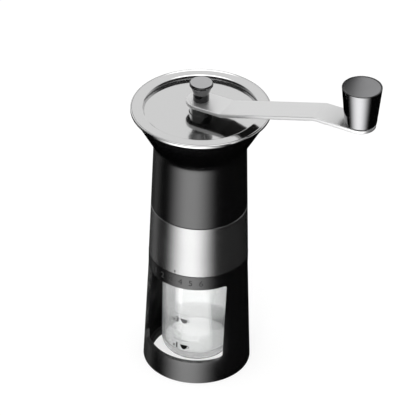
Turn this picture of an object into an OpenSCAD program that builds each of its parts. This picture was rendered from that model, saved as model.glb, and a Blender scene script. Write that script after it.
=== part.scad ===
// Hand crank coffee grinder: a windowed base around a screw-in glass jar, a turning steel
// band that sets the grind, a flared bean hopper with a loose lid, and a cranked arm on top.
// Origin at the centre of the base on the table, +Z up, arm at rest along +X, windows facing
// -Y and +Y. Millimetres.

/* [Heights] */
// Height of the closed ring at the foot of the base
base_ring_h = 17.7; // [10:0.1:30]
// Height of the two windows
window_h = 61.8; // [45:0.1:90]
// Height of the numbered ring above the windows
collar_h = 10.8; // [9:0.1:16]
// Height of the steel band
band_h = 39.6; // [36:0.1:60]
// Height of the hopper's lower cone, from the band to the neck
cone_h = 49.5; // [30:0.1:80]
// Height of the hopper's flare, from the neck to the rim
flare_h = 27.3; // [20:0.1:40]
// Height of the steel rim on top of the flare
rim_h = 2.3; // [1.8:0.1:4]
// Depth of the lid below the rim
recess_d = 3.2; // [2:0.1:3.6]
// Height of the arm's underside above the lid
arm_lift = 6.8; // [4:0.1:12]

/* [Widths] */
// How much the base widens below the numbered ring
base_spread = 3.05; // [1:0.05:8]
// How much the foot ring of the base widens, out of the whole
foot_spread = 0.7; // [0.2:0.05:1]
// How much the band narrows upwards
band_taper = 1.16; // [0:0.02:1.2]
// How much the hopper narrows to its neck
neck_taper = 1.4; // [0:0.05:1.6]
// How much the flare widens
flare_spread = 15.1; // [12:0.1:20]
// Overhang of the steel rim
rim_over = 1.05; // [0.6:0.05:2]
// Width of the rim's flat flange
rim_w = 7.4; // [6:0.1:9]
// Distance of each window's side from the centre plane
window_x = 31.2; // [27:0.1:31.4]
// Radius of the windows' lower corners
window_low_r = 4.5; // [1:0.1:8]
// Radius of the windows' upper corners
window_top_r = 1.5; // [0.5:0.1:4]

/* [Walls] */
// Wall of the base and the numbered ring
frame_wall = 3.15; // [2:0.05:5]
// Wall of the hopper
hopper_wall = 2.3; // [1.5:0.1:3]
// Wall of the burr housing's tube
housing_wall = 3.5; // [2.6:0.1:5]
// Sheet of the steel band
band_t = 0.9; // [0.5:0.1:1.2]
// Sheet of the steel rim
rim_t = 0.8; // [0.5:0.1:1.2]
// Sheet of the lid
lid_t = 0.8; // [0.5:0.1:1.2]

/* [Jar] */
// Outer radius of the glass jar
jar_r = 25; // [20:0.1:30]
// Wall of the jar
jar_wall = 2.2; // [1.5:0.1:3.5]
// Thickness of the jar's heavy bottom
jar_floor = 7.4; // [4:0.1:12]
// Height of the jar above the table
jar_lift = 8; // [7:0.1:12]
// Wall of the threaded collar that holds the jar
jar_collar_wall = 1.8; // [1.2:0.1:3]
// How far the jar reaches into its collar
jar_grip = 7; // [5:0.1:10]
// Thickness of the jar's seal
gasket_t = 1.25; // [0.8:0.05:2]

/* [Burrs and shaft] */
// Outer radius of the ring burr
burr_r = 20; // [16:0.1:24]
// Height of the ring burr
burr_h = 18; // [14:0.1:20]
// Radius of the cone burr at its foot
cone_r = 16.05; // [12:0.05:16.2]
// Wall of the carrier around the ring burr
carrier_wall = 5.95; // [4:0.05:8]
// Rise of the carrier for one whole turn of the band
adjust_pitch = 6; // [2:0.1:8]
// Radius of the drive shaft
shaft_r = 4; // [3.4:0.1:5]
// Side of the square that drives the arm
square_w = 5.6; // [4.2:0.1:5.6]
// Radius of the threaded stud on top of the shaft
stud_r = 3; // [2:0.1:3]

/* [Crank] */
// Distance from the hub to the knob
arm_l = 120.8; // [80:0.1:160]
// Width of the arm
arm_w = 21; // [16:0.1:28]
// Sheet of the arm
arm_t = 2.7; // [1.5:0.1:4]
// Distance from the hub to the first bend
bend_x = 20; // [12:0.1:30]
// Distance from the first bend to the second
slope_l = 70.4; // [40:0.1:80]
// Rise of the arm between the bends
arm_rise = 20.4; // [5:0.1:30]
// Radius of the collar under the arm
hub_r = 7.9; // [6.6:0.1:10]
// Radius of the cap nut's head
nut_r = 8.2; // [6.5:0.1:12]
// Height of the cap nut
nut_h = 13.9; // [12:0.1:20]
// Radius of the knob at its foot
knob_low_r = 10.9; // [9:0.02:13]
// Radius of the knob at its top
knob_top_r = 13.7; // [11:0.1:18]
// Height of the knob
knob_h = 28; // [22:0.1:40]
// Radius of the pin that the knob turns on
pin_r = 3; // [2:0.1:4]

/* [Clearances] */
// Radial clearance of parts that turn or slide in each other
run_fit = 0.05; // [0.02:0.01:0.1]
// Radial clearance of parts that are fixed in each other
seat_fit = 0.02; // [0.01:0.01:0.05]
// Gap between the band and the parts above and below it
band_gap = 0.3; // [0.2:0.05:0.6]
// Clearance of loose parts, such as the lid around the collar
loose_fit = 0.3; // [0.2:0.05:0.6]

/* [Hidden] */
$fn = 128;
eps = 0.01;
over = 1;
trio = 3;

black = [0.05, 0.05, 0.055];
steel = [0.72, 0.72, 0.73];
dark_steel = [0.35, 0.35, 0.37];
bronze = [0.62, 0.45, 0.25];
soft_black = [0.12, 0.12, 0.12];
clear_glass = [0.85, 0.92, 0.93, 0.4];

// Levels, from the table up
z_window = base_ring_h;
z_window_top = z_window + window_h;
z_collar = z_window_top + collar_h;
z_band = z_collar + band_gap;
z_band_top = z_band + band_h;
z_hopper = z_band_top + band_gap;
z_neck = z_hopper + cone_h;
z_flare = z_neck + flare_h;
z_rim = z_flare + rim_h;
z_lid = z_rim - recess_d;
z_arm = z_lid + arm_lift;
z_arm_top = z_arm + arm_t;

// Foot ring under the base
foot_lift = 0.4;
foot_ring_h = 5.5;
foot_ring_w = 2.4;
foot_ring_room = 1;

// Jar and its threaded collar
jar_gap = 0.05;
jar_top = z_collar - gasket_t - jar_gap;
jar_edge_r = 3.5;
thread_fit = 0.1;
collar_bore_r = jar_r + thread_fit;
jar_collar_r = collar_bore_r + jar_collar_wall;
collar_low = jar_top - jar_grip;

// Burr housing, from the inside out
carrier_r = burr_r + carrier_wall;
housing_bore_r = carrier_r + run_fit;
housing_r = housing_bore_r + housing_wall;
boss_land = 1.5;
boss_r = housing_r + boss_land;
flange_land = 0.7;
screw_land = 4.8;
flange_r = max(boss_r + flange_land, jar_collar_r + screw_land);
flange_low = 4.3;
flange_fit = 0.1;
z_flange = z_collar - flange_low;
step_h = 3.7;
z_step = z_collar + step_h;
chute_step = 3.5;
bridge_seat = 4.5;
chute_r = min(jar_r - chute_step, housing_bore_r - bridge_seat);
housing_over = 5.5;
z_housing = z_hopper + housing_over;
land_under = 3.5;
top_land_h = housing_over + land_under;
sleeve_bore_r = boss_r + run_fit;

// Body radii
frame_bore_r = flange_r + flange_fit;
collar_r = frame_bore_r + frame_wall;
base_r = collar_r + base_spread;
ring_top_r = base_r - foot_spread;
band_in = 0.08;
band_low_r = collar_r - band_in;
band_top_r = band_low_r - band_taper;
hopper_low_r = band_top_r;
neck_r = hopper_low_r - neck_taper;
flare_r = neck_r + flare_spread;
rim_r = flare_r + rim_over;
recess_r = flare_r - rim_w;
lid_room = 0.8;
lid_r = recess_r - lid_room;
foot_wall = 2.9;
frame_foot_r = base_r - foot_spread - foot_wall;
web_t = 3.5;
web_gap = 1.3;
neck_round = 8;

// Fasteners: head radius, head height, shank radius
m25 = [2, 1.8, 1.25];
m2 = [1.8, 1.2, 0.95];
m3 = [2.3, 2, 1.5];
frame_screw_r = (jar_collar_r + frame_bore_r) / 2;
hopper_screw_r = (housing_bore_r + boss_r) / 2;
bridge_screw_r = (chute_r + housing_bore_r) / 2;
frame_screw_land = 0.3;
frame_screw_tip = 0.8;
frame_screw_l = 6;
frame_screw_in_boss = frame_screw_r + m25[2] + frame_screw_land < boss_r;
frame_screw_depth = frame_screw_in_boss ? frame_screw_l : flange_low - frame_screw_tip;
screw_spare = 0.5;
hopper_screw_depth = 6;
bridge_screw_depth = 2.6;

// Bridges and bushes
bridge_fit = 0.1;
low_ring_h = 2;
bush_wall = 1.98;
bush_r = shaft_r + run_fit + bush_wall;
low_hub_wall = 0.97;
low_hub_r = bush_r + low_hub_wall;
low_hub_up = 4;
low_hub_down = 2.5;
spoke_w = 4;
bush_flange_t = 1;
lip_h = 3;
z_lip = z_housing + lip_h;
top_ring_h = 3;
top_ring_w = 6.7;
top_hub_wall = 1.97;
top_hub_r = bush_r + top_hub_wall;
top_hub_h = 13;
z_low_bush = z_step + low_hub_up;
z_low_flange = z_low_bush + bush_flange_t;
z_top_flange = z_lip - bush_flange_t;

// Burrs
washer_gap = 0.05;
washer_t = 0.8;
washer_over = 0.4;
washer_r = low_hub_r + washer_over;
z_cone = z_low_flange + washer_gap + washer_t + washer_gap;
cone_h_burr = 21;
cone_low_h = 2;
cone_top_wall = 2.5;
cone_top_r = shaft_r + cone_top_wall;
burr_gap = 0.4;
burr_throat_r = 13.5;
carrier_dip = 0.5;
carrier_low = z_low_flange - carrier_dip;
retainer_t = 1.5;
retainer_r = burr_r + 3;
retainer_lip = 2;
z_burr = carrier_low + retainer_t;
funnel_h = 6;
carrier_top = z_burr + burr_h + funnel_h;
funnel_wall = 1.95;
funnel_r = carrier_r - funnel_wall;
throat_land = 2;
flutes = 8;
fine_h = 3;
ring_flute = [3, 2.4, 18];
ring_flute_out = 1.2;
ring_flute_start = 11;
ring_flute_tilt = [18, -12, 0];
cone_flute = [3, 2.2];
cone_flute_out = 0.6;
cone_flute_twist = 24;
burr_nut_h = 3.5;
burr_nut_wall = 2.2;
burr_nut_r = shaft_r + burr_nut_wall;
z_nut = z_cone + cone_h_burr;

// Carrier lugs in the housing's slots
lug_w = 6;
lug_h = 6;
lug_up = 6;
z_lug = z_burr + lug_up;
adjust_turn = 65;
lug_travel = adjust_pitch * adjust_turn / 720;
slot_spare = 0.6;

// Shaft
clip_t = 0.9;
clip_gap = 0.05;
clip_groove = 0.55;
clip_w = 2.2;
clip_mouth = 3.2;
z_clip = z_step - low_hub_down - clip_gap - clip_t;
shaft_end = 1;
z_shaft = z_clip - shaft_end;
shoulder_w = 2.5;
shoulder_r = shaft_r + shoulder_w;
shoulder_t = 2;
hub_under = 1;
z_hub = z_lid - lid_t - hub_under;
z_square = z_arm - seat_fit;
stud_l = 10;
spring_gap = 2.2;
spring_r = shaft_r + spring_gap;
spring_fit = 0.1;
spring_wire_r = 0.6;
spring_turns = 4;
z_spring = z_nut + burr_nut_h + spring_fit;
z_spring_top = z_top_flange - spring_fit;

// Rim and lid
rim_skirt_in = flare_r + run_fit;
rim_gap = 0.1;
hopper_edge = rim_h - rim_t - rim_gap;
lip_back = 4;
ledge_w = 2.5;
lid_gap = 0.1;
lid_hole_r = hub_r + loose_fit;

// Cap nut
nut_flare = 2.6;
nut_foot_r = nut_r - nut_flare;
nut_foot_h = 5.6;
nut_head_h = 2.5;
nut_chamfer = 0.7;
nut_gap = 0.05;
nut_lip_w = 0.6;
nut_lip_h = 0.4;
stud_room = 0.3;

// Knob
arm_end_top = z_arm_top + arm_rise;
knob_washer_t = 0.4;
knob_gap = 0.1;
knob_edge = 0.4;
z_knob = arm_end_top + knob_washer_t + knob_gap;
knob_wall = 0.9;
cap_t = 1.9;
cap_drop = 0.3;
cap_fit = 0.1;
cap_dish = 0.5;
z_knob_top = z_knob + knob_h;
z_cap = z_knob_top - cap_drop - cap_t;
knob_screw_head = [4.6, 2];
knob_screw_r = 1.5;
knob_screw_l = 8;
head_room = 0.5;
pin_short = 0.6;
z_pin_top = z_cap - knob_screw_head[1] - pin_short;
pin_head = [5.5, 1.5];
washer_in = 2.2;

// A ring between two radii and two heights
module ring(r_in, r_out, z0, z1) {
    translate([0, 0, z0])
        difference() {
            cylinder(r = r_out, h = z1 - z0);
            translate([0, 0, -eps]) cylinder(r = r_in, h = z1 - z0 + 2 * eps);
        }
}

// A turned solid from a profile of [radius, height] points
module turned(points) {
    rotate_extrude() polygon(points);
}

// Copies its children around the axis
module around(count, start = 0) {
    for (i = [0 : count - 1]) rotate([0, 0, start + i * 360 / count]) children();
}

// A pan head screw with its head's underside at z = 0, shank down
module screw(size, depth) {
    cylinder(r = size[0], h = size[1]);
    translate([0, 0, -depth]) cylinder(r = size[2], h = depth + eps);
}

// The hole that a screw's shank needs
module screw_hole(size, depth) {
    translate([0, 0, -depth]) cylinder(r = size[2] + seat_fit, h = depth + over);
}

// Points of an arc in the profile plane, from angle a0 to a1
function arc(cx, cz, r, a0, a1, steps) =
    [for (i = [0 : steps]) let (a = a0 + (a1 - a0) * i / steps) [cx + r * cos(a), cz + r * sin(a)]];

// A straight prism with the window's outline and rounded corners, right through front to rear
module window_prism() {
    depth = 2 * base_r + 10;
    translate([0, depth / 2, 0]) rotate([90, 0, 0]) {
        linear_extrude(depth) translate([-window_x, z_window + window_low_r])
            square([2 * window_x, window_h - window_low_r - window_top_r]);
        linear_extrude(depth) translate([window_low_r - window_x, z_window])
            square([2 * (window_x - window_low_r), window_h / 2]);
        linear_extrude(depth) translate([window_top_r - window_x, z_window_top - window_h / 2])
            square([2 * (window_x - window_top_r), window_h / 2]);
        for (s = [-1, 1]) {
            translate([s * (window_x - window_low_r), z_window + window_low_r, 0])
                cylinder(r = window_low_r, h = depth);
            translate([s * (window_x - window_top_r), z_window_top - window_top_r, 0])
                cylinder(r = window_top_r, h = depth);
        }
    }
}

module foot_ring() {
    color(soft_black)
        ring(frame_foot_r - run_fit - foot_ring_w, frame_foot_r - run_fit, 0, foot_ring_h);
}

module base_frame() {
    web_low = z_flange - web_t;
    color(black) difference() {
        turned([
            [frame_foot_r, foot_lift], [base_r, foot_lift], [ring_top_r, z_window],
            [collar_r, z_window_top], [collar_r, z_collar], [frame_bore_r, z_collar],
            [frame_bore_r, z_flange], [jar_collar_r + web_gap, z_flange], [jar_collar_r + web_gap, web_low],
            [frame_bore_r, web_low], [frame_bore_r, z_window_top],
            [frame_foot_r, foot_ring_h + foot_ring_room]
        ]);
        window_prism();
        around(trio, 90) translate([frame_screw_r, 0, web_low]) mirror([0, 0, 1])
            screw_hole(m25, web_t + over);
    }
}

module frame_screws() {
    color(dark_steel) around(trio, 90)
        translate([frame_screw_r, 0, z_flange - web_t]) mirror([0, 0, 1])
            screw(m25, web_t + frame_screw_depth);
}

module burr_housing() {
    color(black) difference() {
        turned([
            [collar_bore_r, collar_low], [jar_collar_r, collar_low], [jar_collar_r, z_flange],
            [flange_r, z_flange], [flange_r, z_collar], [boss_r, z_collar],
            [boss_r, z_step], [housing_r, z_step], [housing_r, z_housing - top_land_h],
            [boss_r, z_housing - top_land_h], [boss_r, z_housing], [housing_bore_r, z_housing],
            [housing_bore_r, z_step], [chute_r, z_step], [chute_r, z_collar], [collar_bore_r, z_collar]
        ]);
        around(trio, 30)
            translate([housing_bore_r - over, -lug_w / 2 - run_fit, z_lug - lug_travel - slot_spare])
                cube([boss_r, lug_w + 2 * run_fit, lug_h + 2 * (lug_travel + slot_spare)]);
        around(trio, 90) translate([frame_screw_r, 0, z_flange]) mirror([0, 0, 1])
            screw_hole(m25, frame_screw_depth + screw_spare);
        around(trio, 60) translate([bridge_screw_r, 0, z_step])
            screw_hole(m2, bridge_screw_depth + screw_spare);
        around(trio, 60) translate([hopper_screw_r, 0, z_housing])
            screw_hole(m3, hopper_screw_depth + screw_spare);
    }
}

module jar_gasket() {
    color([0.75, 0.75, 0.72])
        ring(jar_r - jar_wall, collar_bore_r - run_fit, z_collar - gasket_t, z_collar);
}

module lower_bridge() {
    color(dark_steel) difference() {
        union() {
            ring(chute_r, housing_bore_r - bridge_fit, z_step, z_step + low_ring_h);
            translate([0, 0, z_step - low_hub_down]) cylinder(r = low_hub_r, h = low_hub_up + low_hub_down);
            around(trio) translate([low_hub_r - over, -spoke_w / 2, z_step])
                cube([chute_r - low_hub_r + 2 * over, spoke_w, low_ring_h]);
        }
        translate([0, 0, z_step - low_hub_down - eps])
            cylinder(r = bush_r + seat_fit, h = low_hub_up + low_hub_down + 2 * eps);
        around(trio, 60) translate([bridge_screw_r, 0, z_step]) screw_hole(m2, over);
        around(trio, 60) translate([bridge_screw_r, 0, z_step + low_ring_h])
            screw_hole(m2, low_ring_h + over);
    }
}

module lower_bridge_screws() {
    color(dark_steel) around(trio, 60)
        translate([bridge_screw_r, 0, z_step + low_ring_h]) screw(m2, low_ring_h + bridge_screw_depth);
}

module lower_bush() {
    color(bronze) turned([
        [shaft_r + run_fit, z_step - low_hub_down], [bush_r, z_step - low_hub_down], [bush_r, z_low_bush],
        [low_hub_r, z_low_bush], [low_hub_r, z_low_flange], [shaft_r + run_fit, z_low_flange]
    ]);
}

module upper_bridge() {
    ring_r = boss_r - bridge_fit;
    color(dark_steel) difference() {
        union() {
            ring(ring_r - top_ring_w, ring_r, z_lip, z_lip + top_ring_h);
            translate([0, 0, z_lip]) cylinder(r = top_hub_r, h = top_hub_h);
            around(trio) translate([top_hub_r - over, -spoke_w / 2, z_lip])
                cube([ring_r - top_ring_w - top_hub_r + 2 * over, spoke_w, top_ring_h]);
        }
        translate([0, 0, z_lip - eps]) cylinder(r = bush_r + seat_fit, h = top_hub_h + 2 * eps);
        around(trio, 60) translate([hopper_screw_r, 0, z_lip + top_ring_h])
            screw_hole(m3, top_ring_h + over);
    }
}

module hopper_screws() {
    color(dark_steel) around(trio, 60)
        translate([hopper_screw_r, 0, z_lip + top_ring_h])
            screw(m3, top_ring_h + lip_h + hopper_screw_depth);
}

module upper_bush() {
    color(bronze) turned([
        [shaft_r + run_fit, z_top_flange], [low_hub_r, z_top_flange], [low_hub_r, z_lip],
        [bush_r, z_lip], [bush_r, z_lip + top_hub_h], [shaft_r + run_fit, z_lip + top_hub_h]
    ]);
}

module hopper_shell() {
    flare_slope = (flare_r - neck_r) / flare_h;
    cone_slope = (hopper_low_r - neck_r) / cone_h;
    side = hopper_wall * sqrt(1 + flare_slope * flare_slope);
    skirt_r = boss_r + bridge_fit;
    z_edge = z_flare + hopper_edge;
    lip_in = housing_bore_r;
    low_dir = atan(cone_slope);
    high_dir = -atan(flare_slope);
    half = (low_dir - high_dir) / 2;
    tangent = neck_round * tan(half);
    foot = [neck_r + tangent * sin(low_dir), z_neck - tangent * cos(low_dir)];
    centre = [foot[0] + neck_round * cos(low_dir), foot[1] + neck_round * sin(low_dir)];
    color(black) difference() {
        turned(concat(
            [[skirt_r, z_hopper], [hopper_low_r, z_hopper]],
            arc(centre[0], centre[1], neck_round, 180 + low_dir, 180 + high_dir, 10),
            [
                [flare_r, z_flare], [flare_r, z_edge], [flare_r - side, z_edge], [flare_r - side, z_flare],
                [neck_r - hopper_wall, z_neck], [skirt_r, z_lip + lip_back], [skirt_r, z_lip],
                [lip_in, z_lip], [lip_in, z_housing], [skirt_r, z_housing]
            ]
        ));
        around(trio, 60) translate([hopper_screw_r, 0, z_lip]) screw_hole(m3, lip_h + over);
    }
}

module rim_ring() {
    ledge_top = z_lid - lid_t - lid_gap;
    wall_r = recess_r + rim_t;
    color(steel) turned([
        [recess_r, z_rim], [rim_r, z_rim], [rim_r, z_flare], [rim_skirt_in, z_flare],
        [rim_skirt_in, z_rim - rim_t], [wall_r, z_rim - rim_t], [wall_r, ledge_top - rim_t],
        [recess_r - ledge_w, ledge_top - rim_t], [recess_r - ledge_w, ledge_top], [recess_r, ledge_top]
    ]);
}

module adjust_band() {
    color(steel) turned([
        [band_low_r - band_t, z_band], [band_low_r, z_band],
        [band_top_r, z_band_top], [band_top_r - band_t, z_band_top]
    ]);
}

module adjust_sleeve() {
    color(soft_black) turned([
        [sleeve_bore_r, z_band], [band_low_r - band_t - run_fit, z_band],
        [band_top_r - band_t - run_fit, z_band_top], [sleeve_bore_r, z_band_top]
    ]);
}

module burr_carrier() {
    pocket_r = burr_r + run_fit;
    color(dark_steel) union() {
        turned([
            [retainer_r, carrier_low], [carrier_r, carrier_low], [carrier_r, carrier_top],
            [funnel_r, carrier_top], [burr_throat_r + throat_land, z_burr + burr_h],
            [pocket_r, z_burr + burr_h], [pocket_r, z_burr], [retainer_r, z_burr]
        ]);
        intersection() {
            around(trio, 30) translate([carrier_r - over, -lug_w / 2, z_lug])
                cube([boss_r - carrier_r + over, lug_w, lug_h]);
            translate([0, 0, z_lug - over]) cylinder(r = boss_r, h = lug_h + 2 * over);
        }
    }
}

module outer_burr() {
    color(dark_steel) difference() {
        turned([
            [cone_r + burr_gap, z_burr], [burr_r, z_burr], [burr_r, z_burr + burr_h],
            [burr_throat_r, z_burr + burr_h], [cone_r + burr_gap, z_burr + fine_h]
        ]);
        around(flutes, ring_flute_start)
            translate([burr_throat_r + ring_flute_out, 0, z_burr + burr_h - fine_h])
            rotate(ring_flute_tilt) cube(ring_flute, center = true);
    }
}

module burr_retainer() {
    color(dark_steel)
        ring(burr_r - retainer_lip, retainer_r - run_fit, carrier_low, z_burr - seat_fit);
}

module drive_shaft() {
    color(steel) union() {
        difference() {
            union() {
                translate([0, 0, z_shaft]) cylinder(r = shaft_r, h = z_square - z_shaft);
                translate([0, 0, z_hub - shoulder_t]) cylinder(r = shoulder_r, h = shoulder_t);
            }
            ring(shaft_r - clip_groove, shaft_r + over, z_clip, z_clip + clip_t);
        }
        translate([-square_w / 2, -square_w / 2, z_square - eps])
            cube([square_w, square_w, z_arm_top - z_square + eps]);
        translate([0, 0, z_arm_top]) cylinder(r = stud_r, h = stud_l);
    }
}

module shaft_clip() {
    color(dark_steel) difference() {
        ring(
            shaft_r - clip_groove + run_fit, shaft_r + clip_w,
            z_clip + seat_fit, z_clip + clip_t - seat_fit
        );
        translate([0, -clip_mouth / 2, z_clip - over])
            cube([shaft_r + clip_w + over, clip_mouth, clip_t + 2 * over]);
    }
}

module thrust_washer() {
    color(bronze)
        ring(shaft_r + seat_fit, washer_r, z_low_flange + washer_gap, z_cone - washer_gap);
}

module inner_burr() {
    mid_r = (cone_r + cone_top_r) / 2;
    tilt = atan((cone_r - cone_top_r) / (cone_h_burr - cone_low_h));
    color(dark_steel) difference() {
        turned([
            [shaft_r + seat_fit, z_cone], [cone_r, z_cone], [cone_r, z_cone + cone_low_h],
            [cone_top_r, z_cone + cone_h_burr], [shaft_r + seat_fit, z_cone + cone_h_burr]
        ]);
        around(flutes) translate([mid_r + cone_flute_out, 0, z_cone + (cone_h_burr + cone_low_h) / 2])
            rotate([-cone_flute_twist, -tilt, 0])
                cube([cone_flute[0], cone_flute[1], cone_h_burr], center = true);
    }
}

module burr_nut() {
    color(dark_steel) difference() {
        translate([0, 0, z_nut]) cylinder(r = burr_nut_r, h = burr_nut_h, $fn = 6);
        translate([0, 0, z_nut - eps]) cylinder(r = shaft_r + seat_fit, h = burr_nut_h + 2 * eps);
    }
}

module shaft_spring() {
    sides = 8;
    per_turn = 20;
    steps = spring_turns * per_turn;
    rise = z_spring_top - z_spring - 2 * spring_wire_r;
    points = [
        for (i = [0 : steps]) let (a = 360 * i / per_turn, z = z_spring + spring_wire_r + rise * i / steps)
            for (j = [0 : sides - 1]) let (b = 360 * j / sides, r = spring_r + spring_wire_r * cos(b))
                [r * cos(a), r * sin(a), z + spring_wire_r * sin(b)]
    ];
    walls = [
        for (i = [0 : steps - 1], j = [0 : sides - 1]) let (k = (j + 1) % sides)
            [i * sides + j, (i + 1) * sides + j, (i + 1) * sides + k, i * sides + k]
    ];
    low_end = [for (j = [0 : sides - 1]) j];
    high_end = [for (j = [sides - 1 : -1 : 0]) steps * sides + j];
    color(steel) polyhedron(points, concat([low_end, high_end], walls));
}

module hub_collar() {
    color(steel) ring(shaft_r + seat_fit, hub_r, z_hub, z_arm);
}

module crank_arm() {
    bend = atan(arm_rise / slope_l);
    shift = arm_t * tan(bend / 2);
    end_x = arm_l + arm_w / 2;
    color(steel) difference() {
        intersection() {
            rotate([90, 0, 0]) translate([0, 0, -arm_w / 2]) linear_extrude(arm_w) polygon([
                [-arm_w / 2, z_arm], [bend_x + shift, z_arm],
                [bend_x + slope_l + shift, z_arm + arm_rise], [end_x, z_arm + arm_rise],
                [end_x, arm_end_top], [bend_x + slope_l, arm_end_top],
                [bend_x, z_arm_top], [-arm_w / 2, z_arm_top]
            ]);
            union() {
                translate([0, 0, z_arm - over]) cylinder(r = arm_w / 2, h = arm_rise + arm_t + 2 * over);
                translate([arm_l, 0, z_arm - over]) cylinder(r = arm_w / 2, h = arm_rise + arm_t + 2 * over);
                translate([0, -arm_w / 2, z_arm - over]) cube([arm_l, arm_w, arm_rise + arm_t + 2 * over]);
            }
        }
        translate([0, 0, z_arm + arm_t / 2])
            cube([square_w + 2 * run_fit, square_w + 2 * run_fit, 2 * arm_t], center = true);
        translate([arm_l, 0, z_arm + arm_rise - over]) cylinder(r = pin_r + seat_fit, h = arm_t + 2 * over);
    }
}

module knob_pin() {
    z_head = z_arm + arm_rise - pin_head[1];
    color(steel) translate([arm_l, 0, 0]) difference() {
        union() {
            translate([0, 0, z_head]) cylinder(r = pin_head[0], h = pin_head[1]);
            translate([0, 0, z_head]) cylinder(r = pin_r, h = z_pin_top - z_head);
        }
        translate([0, 0, z_pin_top - knob_screw_l - screw_spare])
            cylinder(r = knob_screw_r + seat_fit, h = knob_screw_l + over);
    }
}

module knob_screw() {
    color(dark_steel) translate([arm_l, 0, z_pin_top + seat_fit])
        screw([knob_screw_head[0], knob_screw_head[1], knob_screw_r], knob_screw_l);
}

module knob_washer() {
    color(soft_black) translate([arm_l, 0, 0])
        ring(pin_r + seat_fit, knob_low_r - washer_in, arm_end_top, arm_end_top + knob_washer_t);
}

module knob() {
    cap_r = knob_top_r - knob_wall;
    bottom_round = 0.6;
    head_r = knob_screw_head[0] + head_room;
    z_foot = z_pin_top - knob_gap;
    color(black) translate([arm_l, 0, 0]) turned([
        [pin_r + run_fit, z_knob], [knob_low_r - bottom_round, z_knob], [knob_low_r, z_knob + bottom_round],
        [knob_top_r, z_knob_top - knob_edge], [knob_top_r - knob_edge, z_knob_top], [cap_r, z_knob_top],
        [cap_r, z_cap], [head_r, z_cap], [head_r, z_foot], [pin_r + run_fit, z_foot]
    ]);
}

module knob_cap() {
    cap_r = knob_top_r - knob_wall - cap_fit;
    dish_r = (cap_r * cap_r + cap_dish * cap_dish) / (2 * cap_dish);
    dish_angle = asin(cap_r / dish_r);
    color(soft_black) translate([arm_l, 0, 0]) turned(concat(
        [[0, z_cap], [cap_r, z_cap]],
        arc(0, z_cap + cap_t - cap_dish + dish_r, dish_r, 270 + dish_angle, 270, 8)
    ));
}

module cap_nut() {
    z0 = z_arm_top + nut_gap;
    z1 = z0 + nut_foot_h;
    z2 = z_arm_top + nut_h - nut_head_h;
    z3 = z_arm_top + nut_h;
    color(dark_steel) turned([
        [stud_r + run_fit, z0], [nut_foot_r, z0], [nut_foot_r, z1],
        [nut_r - nut_lip_w, z2], [nut_r, z2 + nut_lip_h],
        [nut_r, z3 - nut_chamfer], [nut_r - nut_chamfer, z3], [0, z3],
        [0, z_arm_top + stud_l + stud_room], [stud_r + run_fit, z_arm_top + stud_l + stud_room]
    ]);
}

module lid() {
    color(steel) ring(lid_hole_r, lid_r, z_lid - lid_t, z_lid);
}

module jar() {
    inner_r = jar_r - jar_wall;
    inner_round = 2;
    z_in = jar_lift + jar_floor;
    color(clear_glass) turned(concat(
        [[0, jar_lift]],
        arc(jar_r - jar_edge_r, jar_lift + jar_edge_r, jar_edge_r, 270, 360, 8),
        [[jar_r, jar_top], [inner_r, jar_top]],
        arc(inner_r - inner_round, z_in + inner_round, inner_round, 360, 270, 6),
        [[0, z_in]]
    ));
}

foot_ring();
base_frame();
frame_screws();
burr_housing();
jar_gasket();
lower_bridge();
lower_bridge_screws();
lower_bush();
upper_bridge();
hopper_screws();
upper_bush();
hopper_shell();
rim_ring();
adjust_band();
adjust_sleeve();
burr_carrier();
outer_burr();
burr_retainer();
drive_shaft();
shaft_clip();
thrust_washer();
inner_burr();
burr_nut();
shaft_spring();
hub_collar();
crank_arm();
knob_pin();
knob_screw();
knob_washer();
knob();
knob_cap();
cap_nut();
lid();
jar();
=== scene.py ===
"""Finishes, studio and camera for a hand crank coffee grinder.

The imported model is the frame: every visible surface here is worked out from its nodes' boxes and a
few named sizes, in metres, with the origin at the centre of the base, +Z up and the arm along +X.
"""

import logging
import math
from collections.abc import Callable
from dataclasses import dataclass, field
from enum import Enum

import bmesh
import bpy
import numpy as np
from mathutils import Matrix, Vector


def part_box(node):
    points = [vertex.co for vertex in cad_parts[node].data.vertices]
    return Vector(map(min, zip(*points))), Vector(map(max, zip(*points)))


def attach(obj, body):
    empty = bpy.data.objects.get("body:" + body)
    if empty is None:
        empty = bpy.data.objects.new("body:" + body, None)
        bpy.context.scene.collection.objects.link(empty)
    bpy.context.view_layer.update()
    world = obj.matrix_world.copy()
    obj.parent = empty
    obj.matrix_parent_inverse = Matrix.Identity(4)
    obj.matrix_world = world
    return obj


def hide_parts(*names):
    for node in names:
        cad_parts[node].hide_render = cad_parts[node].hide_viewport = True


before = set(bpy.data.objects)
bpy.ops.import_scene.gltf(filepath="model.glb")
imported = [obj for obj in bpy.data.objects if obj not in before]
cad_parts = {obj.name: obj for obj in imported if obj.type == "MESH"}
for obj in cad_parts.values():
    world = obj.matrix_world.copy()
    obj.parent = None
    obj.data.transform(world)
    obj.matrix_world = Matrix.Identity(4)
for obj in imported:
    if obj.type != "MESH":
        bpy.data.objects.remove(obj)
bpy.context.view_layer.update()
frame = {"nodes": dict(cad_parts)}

LOG = logging.getLogger("grinder")
MM = 0.001
TURN_STEPS = 256
ARC_STEPS = 6
SOFT_EDGE = 32.0
PRINT_EDGE = 40.0
PRINT_THICK = 0.03 * MM
PRINT_GAP = 0.01 * MM
CAPITAL_SHARE = 0.73
SHEET_STEPS = 40


# --------------------------------------------------------------------------- shader nodes


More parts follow.
